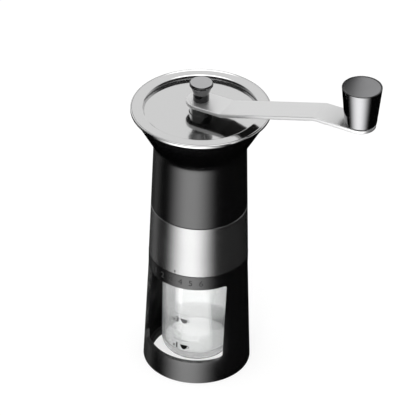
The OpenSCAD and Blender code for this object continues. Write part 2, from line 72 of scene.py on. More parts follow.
class Wire:
    """One value socket of a node tree, on which Python arithmetic adds Math nodes."""

    def __init__(self, graph: "Graph", socket: bpy.types.NodeSocket) -> None:
        """Holds the tree that the socket belongs to.

        Args:
            graph: The tree's wrapper.
            socket: An output socket of one of its nodes.
        """
        self.graph = graph
        self.socket = socket

    def math(self, operation: str, *others: "Wire | float", swap: bool = False) -> "Wire":
        """Adds one Math node.

        Args:
            operation: The Math node's operation.
            others: Its further operands.
            swap: True where this value is the second operand.

        Returns:
            The node's result.
        """
        operands = [self, *others]
        if swap:
            operands.reverse()
        return self.graph.add("ShaderNodeMath", {"operation": operation}, dict(enumerate(operands)))

    def __add__(self, other: "Wire | float") -> "Wire":
        """Returns self + other."""
        return self.math("ADD", other)

    def __sub__(self, other: "Wire | float") -> "Wire":
        """Returns self - other."""
        return self.math("SUBTRACT", other)

    def __rsub__(self, other: float) -> "Wire":
        """Returns other - self."""
        return self.math("SUBTRACT", other, swap=True)

    def __mul__(self, other: "Wire | float") -> "Wire":
        """Returns self * other."""
        return self.math("MULTIPLY", other)

    def __pow__(self, other: "Wire | float") -> "Wire":
        """Returns self to the power of other."""
        return self.math("POWER", other)

    __radd__ = __add__
    __rmul__ = __mul__

    def rise(self, low: float, high: float, to_low: float = 0.0, to_high: float = 1.0) -> "Wire":
        """A smooth step of this value.

        Args:
            low: The value at which the step starts.
            high: The value at which it ends.
            to_low: The result below low.
            to_high: The result above high.

        Returns:
            to_low below low, to_high above high, and an S-shaped curve between them.
        """
        sockets = dict(enumerate([self, low, high, to_low, to_high]))
        return self.graph.add("ShaderNodeMapRange", {"interpolation_type": "SMOOTHSTEP"}, sockets)


class Graph:
    """A node tree that is written as calls and expressions."""

    def __init__(self, tree: bpy.types.NodeTree) -> None:
        """Empties the tree.

        Args:
            tree: The node tree of a material or a world.
        """
        self.tree = tree
        tree.nodes.clear()

    def add(
        self,
        kind: str,
        settings: dict[str, object] | None = None,
        sockets: dict[int | str, object] | None = None,
        output: int | str = 0,
    ) -> Wire:
        """Adds a node of any type.

        Args:
            kind: The node's type name.
            settings: Its properties, which are set first.
            sockets: A value or a Wire for each input, by name or number.
            output: The output to return.

        Returns:
            That output, ready for arithmetic.
        """
        node = self.tree.nodes.new(kind)
        for key, value in (settings or {}).items():
            setattr(node, key, value)
        for key, value in (sockets or {}).items():
            if isinstance(value, Wire):
                self.tree.links.new(value.socket, node.inputs[key])
            else:
                node.inputs[key].default_value = value
        return Wire(self, node.outputs[output] if len(node.outputs) else None)

    def split(self, vector: Wire) -> list[Wire]:
        """Returns a vector's X, Y and Z."""
        node = self.add("ShaderNodeSeparateXYZ", sockets={0: vector}).socket.node
        return [Wire(self, socket) for socket in node.outputs]

    def bump(self, height: Wire, depth: float) -> Wire:
        """Returns a normal that a height from 0 to 1 dents by up to a depth, in metres."""
        return self.add("ShaderNodeBump", sockets={"Strength": 1.0, "Distance": depth, "Height": height})

    def glow(self, strength: float) -> Wire:
        """Returns a white emission of a given strength."""
        return self.add("ShaderNodeEmission", sockets={"Color": (1.0, 1.0, 1.0, 1.0), "Strength": strength})

    def surface(self, shader: Wire) -> None:
        """Makes a shader the material's surface."""
        self.add("ShaderNodeOutputMaterial", sockets={"Surface": shader})

    def position(self) -> Wire:
        """Returns the point on the piece, in metres along the frame's axes."""
        return self.add("ShaderNodeTexCoord", output="Object")

    def stretched(self, scale: tuple[float, float, float]) -> Wire:
        """Returns the point on the piece, multiplied by a scale along each axis."""
        return self.add("ShaderNodeVectorMath", {"operation": "MULTIPLY"}, {0: self.position(), 1: scale})

    def noise(self, vector: Wire, detail: float = 3.0, roughness: float = 0.55) -> Wire:
        """Smooth noise.

        Args:
            vector: Where it is read, already scaled.
            detail: The number of octaves.
            roughness: How strong the finer octaves are.

        Returns:
            The noise, from 0 to 1.
        """
        return self.add(
            "ShaderNodeTexNoise",
            {"noise_dimensions": "3D"},
            {"Vector": vector, "Scale": 1.0, "Detail": detail, "Roughness": roughness},
        )


def blank_material(name: str) -> tuple[bpy.types.Material, Graph]:
    """Makes a material without nodes.

    Args:
        name: Its name.

    Returns:
        The material and its empty tree.
    """
    material = bpy.data.materials.new(name)
    material.use_nodes = True
    return material, Graph(material.node_tree)


# --------------------------------------------------------------------------- finishes


class Texture(Enum):
    """What the fine texture of a finish follows: noise cells per metre on three axes, and octaves.

    The axes are X, Y and Z, but on TURNED they are the distance from the axis, X and Y.
    """

    MOULDED = (2600.0, 2600.0, 2600.0, 3.0)
    ROUND = (60.0, 60.0, 9000.0, 2.0)
    ALONG = (50.0, 7000.0, 7000.0, 2.0)
    TURNED = (6000.0, 40.0, 40.0, 2.0)
    CAST = (1500.0, 1500.0, 1500.0, 4.0)


@dataclass(frozen=True)
class Finish:
    """One opaque surface finish: a Principled shader with fine texture.

    Attributes:
        name: The material's name.
        slot: The record's material slot. Not used.
        colour: Base colour, linear.
        metallic: 1 on metal and 0 on anything else.
        roughness: Mean roughness.
        spread: How far the roughness strays from its mean.
        texture: What the fine texture follows.
        relief: Depth of the fine texture, in metres.
        mottle: Share by which the base colour strays.
        specular: Strength of the gloss of what isn't metal.
        smudge: Smudges per metre, which stray the roughness and the colour slowly.
    """

    name: str
    slot: str
    colour: tuple[float, float, float]
    metallic: float = 0.0
    roughness: float = 0.4
    spread: float = 0.05
    texture: Texture = Texture.MOULDED
    relief: float = 4e-6
    mottle: float = 0.05
    specular: float = 0.5
    smudge: float = 55.0

    def _grain(self, graph: Graph) -> Wire:
        """The fine texture: noise stretched along the way that the surface was worked.

        Args:
            graph: The material's tree.

        Returns:
            Noise from 0 to 1.
        """
        *scale, octaves = self.texture.value
        if self.texture is not Texture.TURNED:
            return graph.noise(graph.stretched(tuple(scale)), detail=octaves)
        x, y, _ = graph.split(graph.position())
        turned_axes = [(x * x + y * y) ** 0.5 * scale[0], x * scale[1], y * scale[2]]
        point = graph.add("ShaderNodeCombineXYZ", sockets=dict(enumerate(turned_axes)))
        return graph.noise(point, detail=octaves)

    def make(self) -> bpy.types.Material:
        """Builds the material, or returns it if it has been built.

        Returns:
            The material: grain drives its bump and roughness, and slow noise its colour and smudges.
        """
        if self.name in bpy.data.materials:
            return bpy.data.materials[self.name]
        material, graph = blank_material(self.name)
        grain = self._grain(graph)
        smudge = graph.noise(graph.stretched((self.smudge,) * 3), detail=2.0)
        rough = self.roughness + (grain - 0.5) * self.spread + (smudge - 0.5) * self.spread
        shade = (smudge * 0.6 + grain * 0.4).rise(0.25, 0.75)
        dark = tuple(c * (1.0 - self.mottle) for c in self.colour)
        light = tuple(min(1.0, c * (1.0 + self.mottle)) for c in self.colour)
        colour = graph.add(
            "ShaderNodeMix",
            {"data_type": "RGBA"},
            {"Factor": shade, 6: (*dark, 1.0), 7: (*light, 1.0)},
            output=2,
        )
        bump = graph.bump(grain, self.relief)
        shader = graph.add(
            "ShaderNodeBsdfPrincipled",
            sockets={
                "Base Color": colour,
                "Metallic": self.metallic,
                "Roughness": rough,
                "Specular IOR Level": self.specular,
                "Normal": bump,
            },
        )
        graph.surface(shader)
        material.diffuse_color = (*self.colour, 1.0)
        return material


@dataclass(frozen=True)
class Glass:
    """Clear pressed glass, with a slight waviness.

    Attributes:
        name: The material's name.
        slot: The record's material slot. Not used.
        tint: Colour of the light that passes.
        ior: Index of refraction.
        wave: Depth of the waviness, in metres.
        waves: Waves per metre along X, Y and Z.
        clear: Share of the light that isn't scattered at each surface.
        body: Share of the light that a surface bends or scatters. The rest goes straight through.
    """

    name: str = "jar_glass_clear"
    slot: str = "jar_glass"
    tint: tuple[float, float, float] = (0.975, 0.985, 0.982)
    ior: float = 1.4
    wave: float = 1.5e-5
    waves: tuple[float, float, float] = (70.0, 70.0, 30.0)
    clear: float = 0.85
    body: float = 0.75

    def make(self) -> bpy.types.Material:
        """Builds the material, or returns it if it has been built."""
        if self.name in bpy.data.materials:
            return bpy.data.materials[self.name]
        material, graph = blank_material(self.name)
        waves = graph.noise(graph.stretched(self.waves), detail=1.0)
        shader = graph.add(
            "ShaderNodeBsdfPrincipled",
            sockets={
                "Base Color": (*self.tint, 1.0),
                "Roughness": 0.0,
                "IOR": self.ior,
                "Transmission Weight": self.clear,
                "Alpha": self.body,
                "Normal": graph.bump(waves, self.wave),
            },
        )
        graph.surface(shader)
        return material


SATIN_BLACK = Finish(
    "satin_black_moulding", "black_plastic", (0.0012, 0.0012, 0.0013),
    roughness=0.24, spread=0.04, texture=Texture.MOULDED, relief=3e-6, mottle=0.15, specular=1.0,
)
RUBBER = Finish(
    "foot_rubber", "black_rubber", (0.018, 0.018, 0.018),
    roughness=0.75, spread=0.1, texture=Texture.CAST, relief=2e-5, mottle=0.2, specular=0.3,
)
SEAL = Finish(
    "milky_silicone", "silicone", (0.62, 0.62, 0.6),
    roughness=0.45, texture=Texture.CAST, relief=8e-6, mottle=0.04,
)
POLISHED = Finish(
    "polished_steel", "polished_steel", (0.58, 0.58, 0.585), metallic=1.0,
    roughness=0.05, spread=0.02, texture=Texture.TURNED, relief=1e-7, mottle=0.06,
)
BRUSHED = Finish(
    "round_brushed_steel", "brushed_steel", (0.38, 0.38, 0.38), metallic=0.98,
    roughness=0.24, spread=0.06, texture=Texture.ROUND, relief=3e-7, mottle=0.05,
)
SATIN_STEEL = Finish(
    "satin_steel", "satin_steel", (0.68, 0.68, 0.685), metallic=1.0,
    roughness=0.2, spread=0.08, texture=Texture.ALONG, relief=8e-7, mottle=0.04,
)
# Near-black finish for the arm's downward faces: painted shade on its underside.
PAINTED_SHADE_UNDERSIDE = Finish(
    "painted_shade_arm_underside", "black_plastic", (0.004, 0.004, 0.004),
    roughness=0.5, spread=0.05, texture=Texture.CAST, relief=3e-6, specular=0.2,
)
# A much darker copy of the nut's steel for its sides: painted shade.
NUT_SIDE_PAINTED_SHADE = Finish(
    "nut_side_painted_shade", "dark_steel", (0.1, 0.1, 0.101), metallic=1.0,
    roughness=0.14, spread=0.04, texture=Texture.ROUND, relief=3e-7, mottle=0.04,
)
GREY_STEEL = Finish(
    "grey_turned_steel", "dark_steel", (0.42, 0.42, 0.425), metallic=1.0,
    roughness=0.14, spread=0.05, texture=Texture.TURNED, relief=3e-7, mottle=0.04,
)
BLACK_CHROME = Finish(
    "black_chrome", "gloss_black", (0.27, 0.27, 0.275), metallic=1.0,
    roughness=0.16, spread=0.04, texture=Texture.ROUND, relief=3e-7, mottle=0.04,
)
CAP_SATIN = Finish(
    "knob_top_satin", "knob_cap_satin", (0.24, 0.24, 0.245), metallic=1.0,
    roughness=0.3, spread=0.06, texture=Texture.CAST, relief=1e-6, mottle=0.05,
)
ZINC = Finish(
    "zinc_plate", "screw_steel", (0.46, 0.46, 0.47), metallic=1.0,
    roughness=0.35, spread=0.1, texture=Texture.CAST, relief=2e-6, mottle=0.08,
)
BURR_STEEL = Finish(
    "machined_burr_steel", "burr_steel", (0.42, 0.42, 0.43), metallic=1.0,
    roughness=0.3, spread=0.1, texture=Texture.ROUND, relief=2e-6, mottle=0.06,
)
BRONZE = Finish(
    "sintered_bronze", "bronze", (0.5, 0.34, 0.17), metallic=1.0,
    roughness=0.45, spread=0.1, texture=Texture.CAST, relief=5e-6, mottle=0.1,
)
INNER_BLACK = Finish(
    "inner_plastic_grey", "inner_plastic", (0.05, 0.05, 0.05),
    roughness=0.5, texture=Texture.MOULDED, relief=5e-6, mottle=0.08,
)
PRINT_LIGHT = Finish(
    "light_print", "scale_print", (0.04, 0.04, 0.04),
    roughness=0.8, texture=Texture.CAST, relief=2e-6, mottle=0.08, specular=0.0,
)
PRINT_DARK = Finish(
    "black_print", "scale_print", (0.004, 0.004, 0.004),
    roughness=0.6, texture=Texture.CAST, relief=1e-6, mottle=0.1, specular=0.0,
)
PRINT_GREY = Finish(
    "grey_print", "scale_print", (0.09, 0.09, 0.09),
    roughness=0.6, texture=Texture.CAST, relief=1e-6, mottle=0.08, specular=0.0,
)
JAR_GLASS = Glass()

INNER_FINISHES: dict[Finish, tuple[str, ...]] = {
    RUBBER: ("foot_ring", "knob_washer"),
    SATIN_BLACK: ("burr_housing",),
    SEAL: ("jar_gasket",),
    ZINC: (
        "frame_screws", "lower_bridge", "lower_bridge_screws", "upper_bridge", "hopper_screws",
        "burr_retainer", "shaft_clip", "burr_nut", "shaft_spring", "knob_screw", "knob_pin",
    ),
    BRONZE: ("lower_bush", "upper_bush", "thrust_washer"),
    INNER_BLACK: ("adjust_sleeve", "burr_carrier"),
    BURR_STEEL: ("outer_burr", "inner_burr", "drive_shaft"),
}


# --------------------------------------------------------------------------- surfaces


def grid_quads(rows: int, columns: int, wrap_rows: bool = False, wrap_columns: bool = False) -> np.ndarray:
    """The quads between the points of a grid that is stored row by row.

    Args:
        rows: Number of rows of points.
        columns: Number of points in a row.
        wrap_rows: True where the last row joins the first.
        wrap_columns: True where a row closes on itself.

    Returns:
        An array of four point numbers for each quad.
    """
    i, j = np.meshgrid(
        np.arange(rows if wrap_rows else rows - 1),
        np.arange(columns if wrap_columns else columns - 1),
        indexing="ij",
    )
    i2, j2 = (i + 1) % rows, (j + 1) % columns
    corners = [i * columns + j, i * columns + j2, i2 * columns + j2, i2 * columns + j]
    return np.stack(corners, -1).reshape(-1, 4)


def mesh_from(name: str, points: np.ndarray, quads: np.ndarray, sharp: float = SOFT_EDGE) -> bpy.types.Object:
    """Puts points and quads into a new object at the origin, with poles closed and faces outwards.

    Args:
        name: The piece's name.
        points: Array of points, in metres.
        quads: Array of four point numbers for each face.
        sharp: Edges that turn by more than this many degrees stay sharp.

    Returns:
        The object, linked to the scene.
    """
    mesh = bpy.data.meshes.new(name)
    mesh.vertices.add(len(points))
    mesh.vertices.foreach_set("co", points.astype(np.float32).ravel())
    mesh.loops.add(quads.size)
    mesh.loops.foreach_set("vertex_index", quads.astype(np.int32).ravel())
    mesh.polygons.add(len(quads))
    mesh.polygons.foreach_set("loop_start", np.arange(0, quads.size, 4, dtype=np.int32))
    mesh.update(calc_edges=True)
    clean(mesh, sharp)
    piece = bpy.data.objects.new(name, mesh)
    bpy.context.scene.collection.objects.link(piece)
    return piece


def clean(mesh: bpy.types.Mesh, sharp: float) -> None:
    """Merges doubles, drops faces without area, turns faces outwards and smooths what isn't sharp.

    Args:
        mesh: The mesh to finish.
        sharp: Edges that turn by more than this many degrees stay sharp.
    """
    work = bmesh.new()
    work.from_mesh(mesh)
    bmesh.ops.remove_doubles(work, verts=work.verts, dist=1e-6)
    bmesh.ops.dissolve_degenerate(work, edges=work.edges, dist=1e-7)
    bmesh.ops.recalc_face_normals(work, faces=work.faces)
    work.to_mesh(mesh)
    work.free()
    mesh.polygons.foreach_set("use_smooth", np.ones(len(mesh.polygons), bool))
    mesh.set_sharp_from_angle(angle=math.radians(sharp))
    mesh.update()


def rounded(corners: list[tuple[float, ...]], closed: bool = True) -> np.ndarray:
    """An outline with filleted corners.

    Each fillet is the arc that touches both neighbouring sides. A guard point stands just outside
    each end of an arc, so that the shading of a flat side stays flat up to its edge.

    Args:
        corners: (u, v) or (u, v, fillet radius) for each corner, in order.
        closed: True for a loop. On an open line, the ends are kept as they are.

    Returns:
        The outline's points, as an array of pairs.
    """
    count = len(corners)
    points: list[np.ndarray] = []
    for k, corner in enumerate(corners):
        here = np.array(corner[:2], float)
        radius = corner[2] if len(corner) > 2 else 0.0
        if radius <= 0 or (not closed and k in (0, count - 1)):
            points.append(here[None])
            continue
        back = np.array(corners[k - 1][:2], float) - here
        ahead = np.array(corners[(k + 1) % count][:2], float) - here
        back_length, ahead_length = np.linalg.norm(back), np.linalg.norm(ahead)
        back, ahead = back / back_length, ahead / ahead_length
        half = math.acos(float(np.clip(back @ ahead, -1.0, 1.0))) / 2
        reach = radius / math.tan(half)
        centre = here + (back + ahead) / np.linalg.norm(back + ahead) * radius / math.sin(half)
        start, end = here + back * reach - centre, here + ahead * reach - centre
        sweep = math.pi - 2 * half
        turn = math.copysign(1.0, start[0] * end[1] - start[1] * end[0])
        steps = max(2, round(ARC_STEPS * sweep / (math.pi / 2)) + 1)
        angle = np.linspace(0.0, turn * sweep, steps)
        cosine, sine = np.cos(angle), np.sin(angle)
        across, along = start
        arc = centre + np.stack([across * cosine - along * sine, across * sine + along * cosine], -1)
        guard = 0.3 * radius
        before = here + back * min(reach + guard, back_length)
        after = here + ahead * min(reach + guard, ahead_length)
        points.append(np.vstack([before, arc, after]))
    return np.vstack(points)


def turned(
    outline: np.ndarray, centre: tuple[float, float] = (0.0, 0.0), steps: int = TURN_STEPS
) -> np.ndarray:
    """Turns an outline round an upright axis: (r cos a, r sin a, z) over the outline and the angle a.

    Args:
        outline: Points (r, z), in metres.
        centre: Where the axis stands.
        steps: Number of steps round the axis.

    Returns:
        The points, one row for each point of the outline.
    """
    angle = np.linspace(0.0, 2 * math.pi, steps, endpoint=False)
    radius, height = outline[:, :1], outline[:, 1:]
    x, y = centre[0] + radius * np.cos(angle), centre[1] + radius * np.sin(angle)
    return np.stack([x, y, height + 0 * angle], -1).reshape(-1, 3)


def lathe(
    name: str,
    outline: np.ndarray,
    centre: tuple[float, float] = (0.0, 0.0),
    closed: bool = True,
    steps: int = TURN_STEPS,
) -> bpy.types.Object:
    """Makes a turned piece.

    Args:
        name: The piece's name.
        outline: Points (r, z), in metres.
        centre: Where the axis stands.
        closed: True for a ring's loop. An open outline starts and ends on the axis.
        steps: Number of steps round the axis.

    Returns:
        The piece.
    """
    return mesh_from(name, turned(outline, centre, steps), grid_quads(len(outline), steps, closed, True))


def wrap(points: np.ndarray, radius: float | np.ndarray, azimuth: float = 0.0) -> np.ndarray:
    """Lays flat points on an upright cylinder.

    Args:
        points: Array of (across, up, out), in metres, with across as a length of arc.
        radius: The cylinder's radius.
        azimuth: Where across is 0, in degrees from the front, positive towards +X.

    Returns:
        The points (sin a, -cos a) times the radius plus out, with a = azimuth + across / radius.
    """
    angle = math.radians(azimuth) + points[:, 0] / radius
    reach = radius + points[:, 2]
    return np.stack([reach * np.sin(angle), -reach * np.cos(angle), points[:, 1]], -1)


def join(name: str, parts: list[tuple[np.ndarray, np.ndarray]], sharp: float = SOFT_EDGE) -> bpy.types.Object:
    """Makes one piece of several closed grids.

    Args:
        name: The piece's name.
        parts: Points and quads of each grid.
        sharp: Edges that turn by more than this many degrees stay sharp.

    Returns:
        The piece.
    """
    starts = np.cumsum([0] + [len(points) for points, _ in parts[:-1]])
    points = np.vstack([points for points, _ in parts])
    quads = np.vstack([quads + start for (_, quads), start in zip(parts, starts)])
    return mesh_from(name, points, quads, sharp)


def paint(piece: bpy.types.Object, where: Callable[[np.ndarray], np.ndarray]) -> None:
    """Gives some of a piece's faces its second material.

    Args:
        piece: The piece, which has two materials.
        where: Picks faces by their normals, given as an array of rows.
    """
    normals = np.empty(len(piece.data.polygons) * 3, np.float32)
    piece.data.polygons.foreach_get("normal", normals)
    piece.data.polygons.foreach_set("material_index", where(normals.reshape(-1, 3)).astype(np.int32))


def settle(piece: bpy.types.Object, finish: Finish | Glass, body: str, *nodes: str) -> bpy.types.Object:
    """Gives a piece its finish, its body and the CAD nodes that it stands for.

    Args:
        piece: The finished piece.
        finish: Its main finish, which takes the first material slot.
        body: The body that it rides on.
        nodes: The CAD nodes that it replaces.

    Returns:
        The piece.
    """
    if piece.data.materials:
        piece.data.materials[0] = finish.make()
    else:
        piece.data.materials.append(finish.make())
    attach(piece, body)
    if nodes:
        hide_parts(*nodes)
    LOG.info("%s rides on %s, %d faces", piece.name, body, len(piece.data.polygons))
    return piece


# --------------------------------------------------------------------------- base


@dataclass
class Base:
    """The windowed base with the numbered ring.

    Attributes:
        ring_top: Height of the foot ring, where the windows start.
        window_top: Height at which the windows end.
        window_half: Distance of each window's side from the centre plane.
        low_round: Radius of the windows' lower corners.
        top_round: Radius of their upper corners.
        ring_in: How much narrower the foot ring is at its top.
        collar_in: How much narrower the numbered ring is than the foot.
        wall: Wall of the numbered ring.
        foot_wall: Wall at the foot.
        foot_bore_h: Height of the straight bore for the rubber ring.
        web_bore: Radius of the hole in the flange inside the numbered ring.
        web_h: Thickness of that flange.
        web_lift: Its height over the foot of the burr housing.
        web_edge: Rounding of its lower edge.
        edge: Rounding of every edge.
        corner_steps: Number of rows over each of the windows' corners.
        run_steps: Number of columns over each window and each post.
    """

    ring_top: float = 17.7 * MM
    window_top: float = 79.5 * MM
    window_half: float = 31.2 * MM
    low_round: float = 4.5 * MM
    top_round: float = 1.5 * MM
    ring_in: float = 0.7 * MM
    collar_in: float = 3.05 * MM
    wall: float = 3.15 * MM
    foot_wall: float = 3.6 * MM
    foot_bore_h: float = 6.5 * MM
    web_bore: float = 28.2 * MM
    web_h: float = 3.5 * MM
    web_lift: float = 0.5 * MM
    web_edge: float = 0.2 * MM
    edge: float = 0.45 * MM
    corner_steps: int = 8
    run_steps: int = 28
    low: Vector = field(init=False)
    high: Vector = field(init=False)

    def __post_init__(self) -> None:
        """Takes the foot's radius and the heights from the frame's box."""
        self.low, self.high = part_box("base_frame")
        self.foot_r = self.high.x
        self.collar_r = self.foot_r - self.collar_in
        self.inner_r = self.collar_r - self.wall

    def _outer(self, z: np.ndarray) -> np.ndarray:
        """Outer radius at height z: a tapered foot, a tapered middle and a straight collar."""
        heights = [self.low.z, self.ring_top, self.window_top, self.high.z]
        return np.interp(z, heights, [self.foot_r, self.foot_r - self.ring_in, self.collar_r, self.collar_r])

    def _inner(self, z: np.ndarray) -> np.ndarray:
        """Inner radius at height z: straight round the rubber ring, then tapered, then straight."""
        heights = [self.low.z, self.foot_bore_h, self.window_top, self.high.z]
        foot = self.foot_r - self.foot_wall
        return np.interp(z, heights, [foot, foot, self.inner_r, self.inner_r])

    def _half_width(self, z: np.ndarray) -> np.ndarray:
        """Half width of a window at height z, with the quarter circles of its corners."""
        up, down = z - self.ring_top, self.window_top - z
        low = np.clip(self.low_round - up, 0.0, self.low_round)
        top = np.clip(self.top_round - down, 0.0, self.top_round)
        low_cut = self.low_round - np.sqrt(self.low_round**2 - low**2)
        top_cut = self.top_round - np.sqrt(self.top_round**2 - top**2)
        return self.window_half - low_cut - top_cut

    def _rows(self) -> np.ndarray:
        """Heights of the grid's rows, close together at the windows' corners."""
        quarter = np.linspace(0.0, math.pi / 2, self.corner_steps)
        low = self.ring_top + self.low_round * (1 - np.cos(quarter))
        top = self.window_top - self.top_round * (1 - np.cos(quarter[::-1]))
        foot = np.linspace(self.low.z, self.ring_top, 5)[:-1]
        middle = np.linspace(low[-1], top[0], 14)[1:-1]
        collar = np.linspace(self.window_top, self.high.z, 4)[1:]
        return np.concatenate([foot, low, middle, top, collar])

    def _sheet(self, rows: np.ndarray, radius: np.ndarray, columns: int) -> np.ndarray:
        """One wall as rows of points round the axis.

        A row has two runs of points over the windows and two over the posts. The runs meet where
        the wall's circle crosses the window's side, at asin(half width / radius) from the front.

        Args:
            rows: Heights of the rows.
            radius: The wall's radius at each height.
            columns: Number of steps of each run.

        Returns:
            Points, shaped (rows, 4 * columns, 3).
        """
        inside = np.clip(rows, self.ring_top, self.window_top)
        half = np.arcsin(self._half_width(inside) / radius)[:, None]
        step = np.linspace(0.0, 1.0, columns, endpoint=False)[None]
        window = -half + 2 * half * step
        post = half + (math.pi - 2 * half) * step
        angle = np.concatenate([window, post, window + math.pi, post + math.pi], axis=1)
        r = radius[:, None]
        return np.stack([r * np.sin(angle), -r * np.cos(angle), rows[:, None] + 0 * angle], -1)

    def _shell(self) -> tuple[np.ndarray, np.ndarray]:
        """The base as one closed shell: outer wall, inner wall, both ends and the windows' sides.

        Returns:
            Its points and quads.
        """
        rows = self._rows()
        columns = self.run_steps
        outer = self._sheet(rows, self._outer(rows), columns)
        inner = self._sheet(rows, self._inner(rows), columns)
        count, around = outer.shape[:2]
        quads = grid_quads(count, around, False, True)
        row, column = np.divmod(np.arange(len(quads)), around)
        sill = int(np.argmin(np.abs(rows - self.ring_top)))
        head = int(np.argmin(np.abs(rows - self.window_top)))
        in_window = (column // columns) % 2 == 0
        solid = ~(in_window & (row >= sill) & (row < head))
        walls = [quads[solid], quads[solid][:, ::-1] + count * around]
        ring = np.arange(around)
        after = (ring + 1) % around
        offset = count * around
        for at, mask in (
            (0, np.ones(around, bool)),
            (count - 1, np.ones(around, bool)),
            (sill, (ring // columns) % 2 == 0),
            (head, (ring // columns) % 2 == 0),
        ):
            a, b = at * around + ring[mask], at * around + after[mask]
            walls.append(np.stack([a, b, b + offset, a + offset], -1))
        for side in (0, columns, 2 * columns, 3 * columns):
            a = np.arange(sill, head) * around + side
            walls.append(np.stack([a, a + around, a + around + offset, a + offset], -1))
        points = np.concatenate([outer.reshape(-1, 3), inner.reshape(-1, 3)])
        return points, np.vstack(walls)

    def _web(self) -> tuple[np.ndarray, np.ndarray]:
        """The flange inside the numbered ring that the burr housing is screwed to."""
        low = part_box("burr_housing")[0].z + self.web_lift
        high = low + self.web_h
        bore, rim = self.web_bore, self.inner_r
        outline = rounded([(bore, low, self.web_edge), (rim, low), (rim, high), (bore, high)])
        steps = TURN_STEPS // 2
        return turned(outline, steps=steps), grid_quads(len(outline), steps, True, True)

    def build(self) -> None:
        """Makes the base and the numbers on its ring."""
        piece = join("base_moulding", [self._shell(), self._web()])
        bevel = piece.modifiers.new("edges", "BEVEL")
        bevel.width = self.edge
        bevel.segments = 3
        bevel.limit_method = "ANGLE"
        bevel.angle_limit = math.radians(50)
        bevel.harden_normals = True
        settle(piece, SATIN_BLACK, "grinder", "base_frame")
        Scale(self.collar_r, (self.window_top + self.high.z) / 2).build()


@dataclass
class Scale:
    """The numbers 1 to 6 round the ring above the front window.

    Attributes:
        radius: The ring's radius.
        height: Height of the numbers' centres.
        digits: How many numbers there are.
        pitch: Angle from one number to the next, in degrees.
        middle: Bearing of the middle of the row, in degrees.
        tall: Height of a number.
    """

    radius: float
    height: float
    digits: int = 6
    pitch: float = 12.2
    middle: float = 1.0
    tall: float = 4.8 * MM

    def build(self) -> None:
        """Prints each number, from left to right."""
        first = self.middle - self.pitch * (self.digits - 1) / 2
        for k in range(self.digits):
            azimuth = first + self.pitch * k
            piece = print_text(f"scale_number_{k + 1}", str(k + 1), self.tall)
            lay_on(piece, self.radius, azimuth, self.height)
            settle(piece, PRINT_LIGHT, "grinder")


def print_text(name: str, text: str, tall: float, bold: float = 0.0) -> bpy.types.Object:
    """Flat print of a few characters, as a mesh centred on the origin.

    Args:
        name: The piece's name.
        text: The characters.
        tall: Height of a capital, in metres.
        bold: How far the strokes are widened.

    Returns:
        The piece: across is X, up is Y and out is Z.
    """
    curve = bpy.data.curves.new(name + "_text", "FONT")
    curve.body = text
    curve.align_x, curve.align_y = "CENTER", "CENTER"
    curve.size = tall / CAPITAL_SHARE
    curve.extrude = PRINT_THICK / 2
    curve.offset = bold
    curve.resolution_u = 6
    helper = bpy.data.objects.new(name + "_text", curve)
    bpy.context.scene.collection.objects.link(helper)
    bpy.context.view_layer.update()
    mesh = bpy.data.meshes.new_from_object(helper.evaluated_get(bpy.context.evaluated_depsgraph_get()))
    bpy.data.objects.remove(helper)
    bpy.data.curves.remove(curve)
    mesh.name = name
    piece = bpy.data.objects.new(name, mesh)
    bpy.context.scene.collection.objects.link(piece)
    return piece


def lay_on(piece: bpy.types.Object, radius: float, azimuth: float, height: float, shift: float = 0.0) -> None:
    """Lays a flat print on an upright cylinder, standing out by its own thickness.

    Args:
        piece: A mesh with across along X, up along Y and out along Z, about the origin.
        radius: The cylinder's radius.
        azimuth: Degrees from the front, positive towards +X.
        height: Height of the print's centre.
        shift: How far the print is moved across, as a length of arc.
    """
    mesh = piece.data
    co = np.empty(len(mesh.vertices) * 3, np.float32)
    mesh.vertices.foreach_get("co", co)
    flat = co.reshape(-1, 3).astype(float)
    out = flat[:, 2] - flat[:, 2].min() + PRINT_GAP
    laid = wrap(np.stack([flat[:, 0] + shift, flat[:, 1] + height, out], -1), radius, azimuth)
    mesh.vertices.foreach_set("co", laid.astype(np.float32).ravel())
    clean(mesh, PRINT_EDGE)


# --------------------------------------------------------------------------- adjusting band


@dataclass
class Band:
    """The brushed steel band that is turned to set the grind, with its index mark.

    Attributes:
        sheet: Thickness of the steel.
        taper: How much narrower the band is at its top.
        edge: Rounding of its edges.
        mark_w: Width of the index mark at its top.
        mark_h: Height of the mark.
        mark_lift: Height of the mark's point over the band's foot.
        mark_rows: Rows of points up the mark.
        mark_columns: Points across it.
    """

    sheet: float = 0.9 * MM
    taper: float = 1.16 * MM
    edge: float = 0.25 * MM
    mark_w: float = 1.9 * MM
    mark_h: float = 2.2 * MM
    mark_lift: float = 0.7 * MM
    mark_rows: int = 9
    mark_columns: int = 7

    def build(self) -> None:
        """Turns the band and lays the mark on it."""
        low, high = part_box("adjust_band")
        low_r, top_r = high.x, high.x - self.taper
        outline = rounded(
            [
                (low_r - self.sheet, low.z), (low_r, low.z, self.edge),
                (top_r, high.z, self.edge), (top_r - self.sheet, high.z),
            ]
        )
        settle(lathe("steel_band", outline), BRUSHED, "adjuster", "adjust_band")
        self._mark(low_r, low.z, self.taper / (high.z - low.z))

    def _mark(self, radius: float, foot: float, slope: float) -> None:
        """The index mark: a small triangle that points down at the numbers.

        Args:
            radius: The band's radius at its foot.
            foot: Height of the band's foot.
            slope: How much the radius shrinks with height.
        """
        up = np.linspace(0.0, 1.0, self.mark_rows)[:, None]
        across = np.linspace(-0.5, 0.5, self.mark_columns)[None]
        height = foot + self.mark_lift + up * self.mark_h
        sunk = -2 * PRINT_GAP
        flat = np.stack([across * self.mark_w * up, height + 0 * across, sunk + 0 * across * up], -1)
        points, quads = slab(flat.reshape(-1, 3), self.mark_rows, self.mark_columns, 4 * PRINT_GAP, False)
        lean = radius - slope * (points[:, 1] - foot)
        piece = mesh_from("band_mark", wrap(points, lean), quads, PRINT_EDGE)
        settle(piece, PRINT_GREY, "adjuster")


# --------------------------------------------------------------------------- hopper


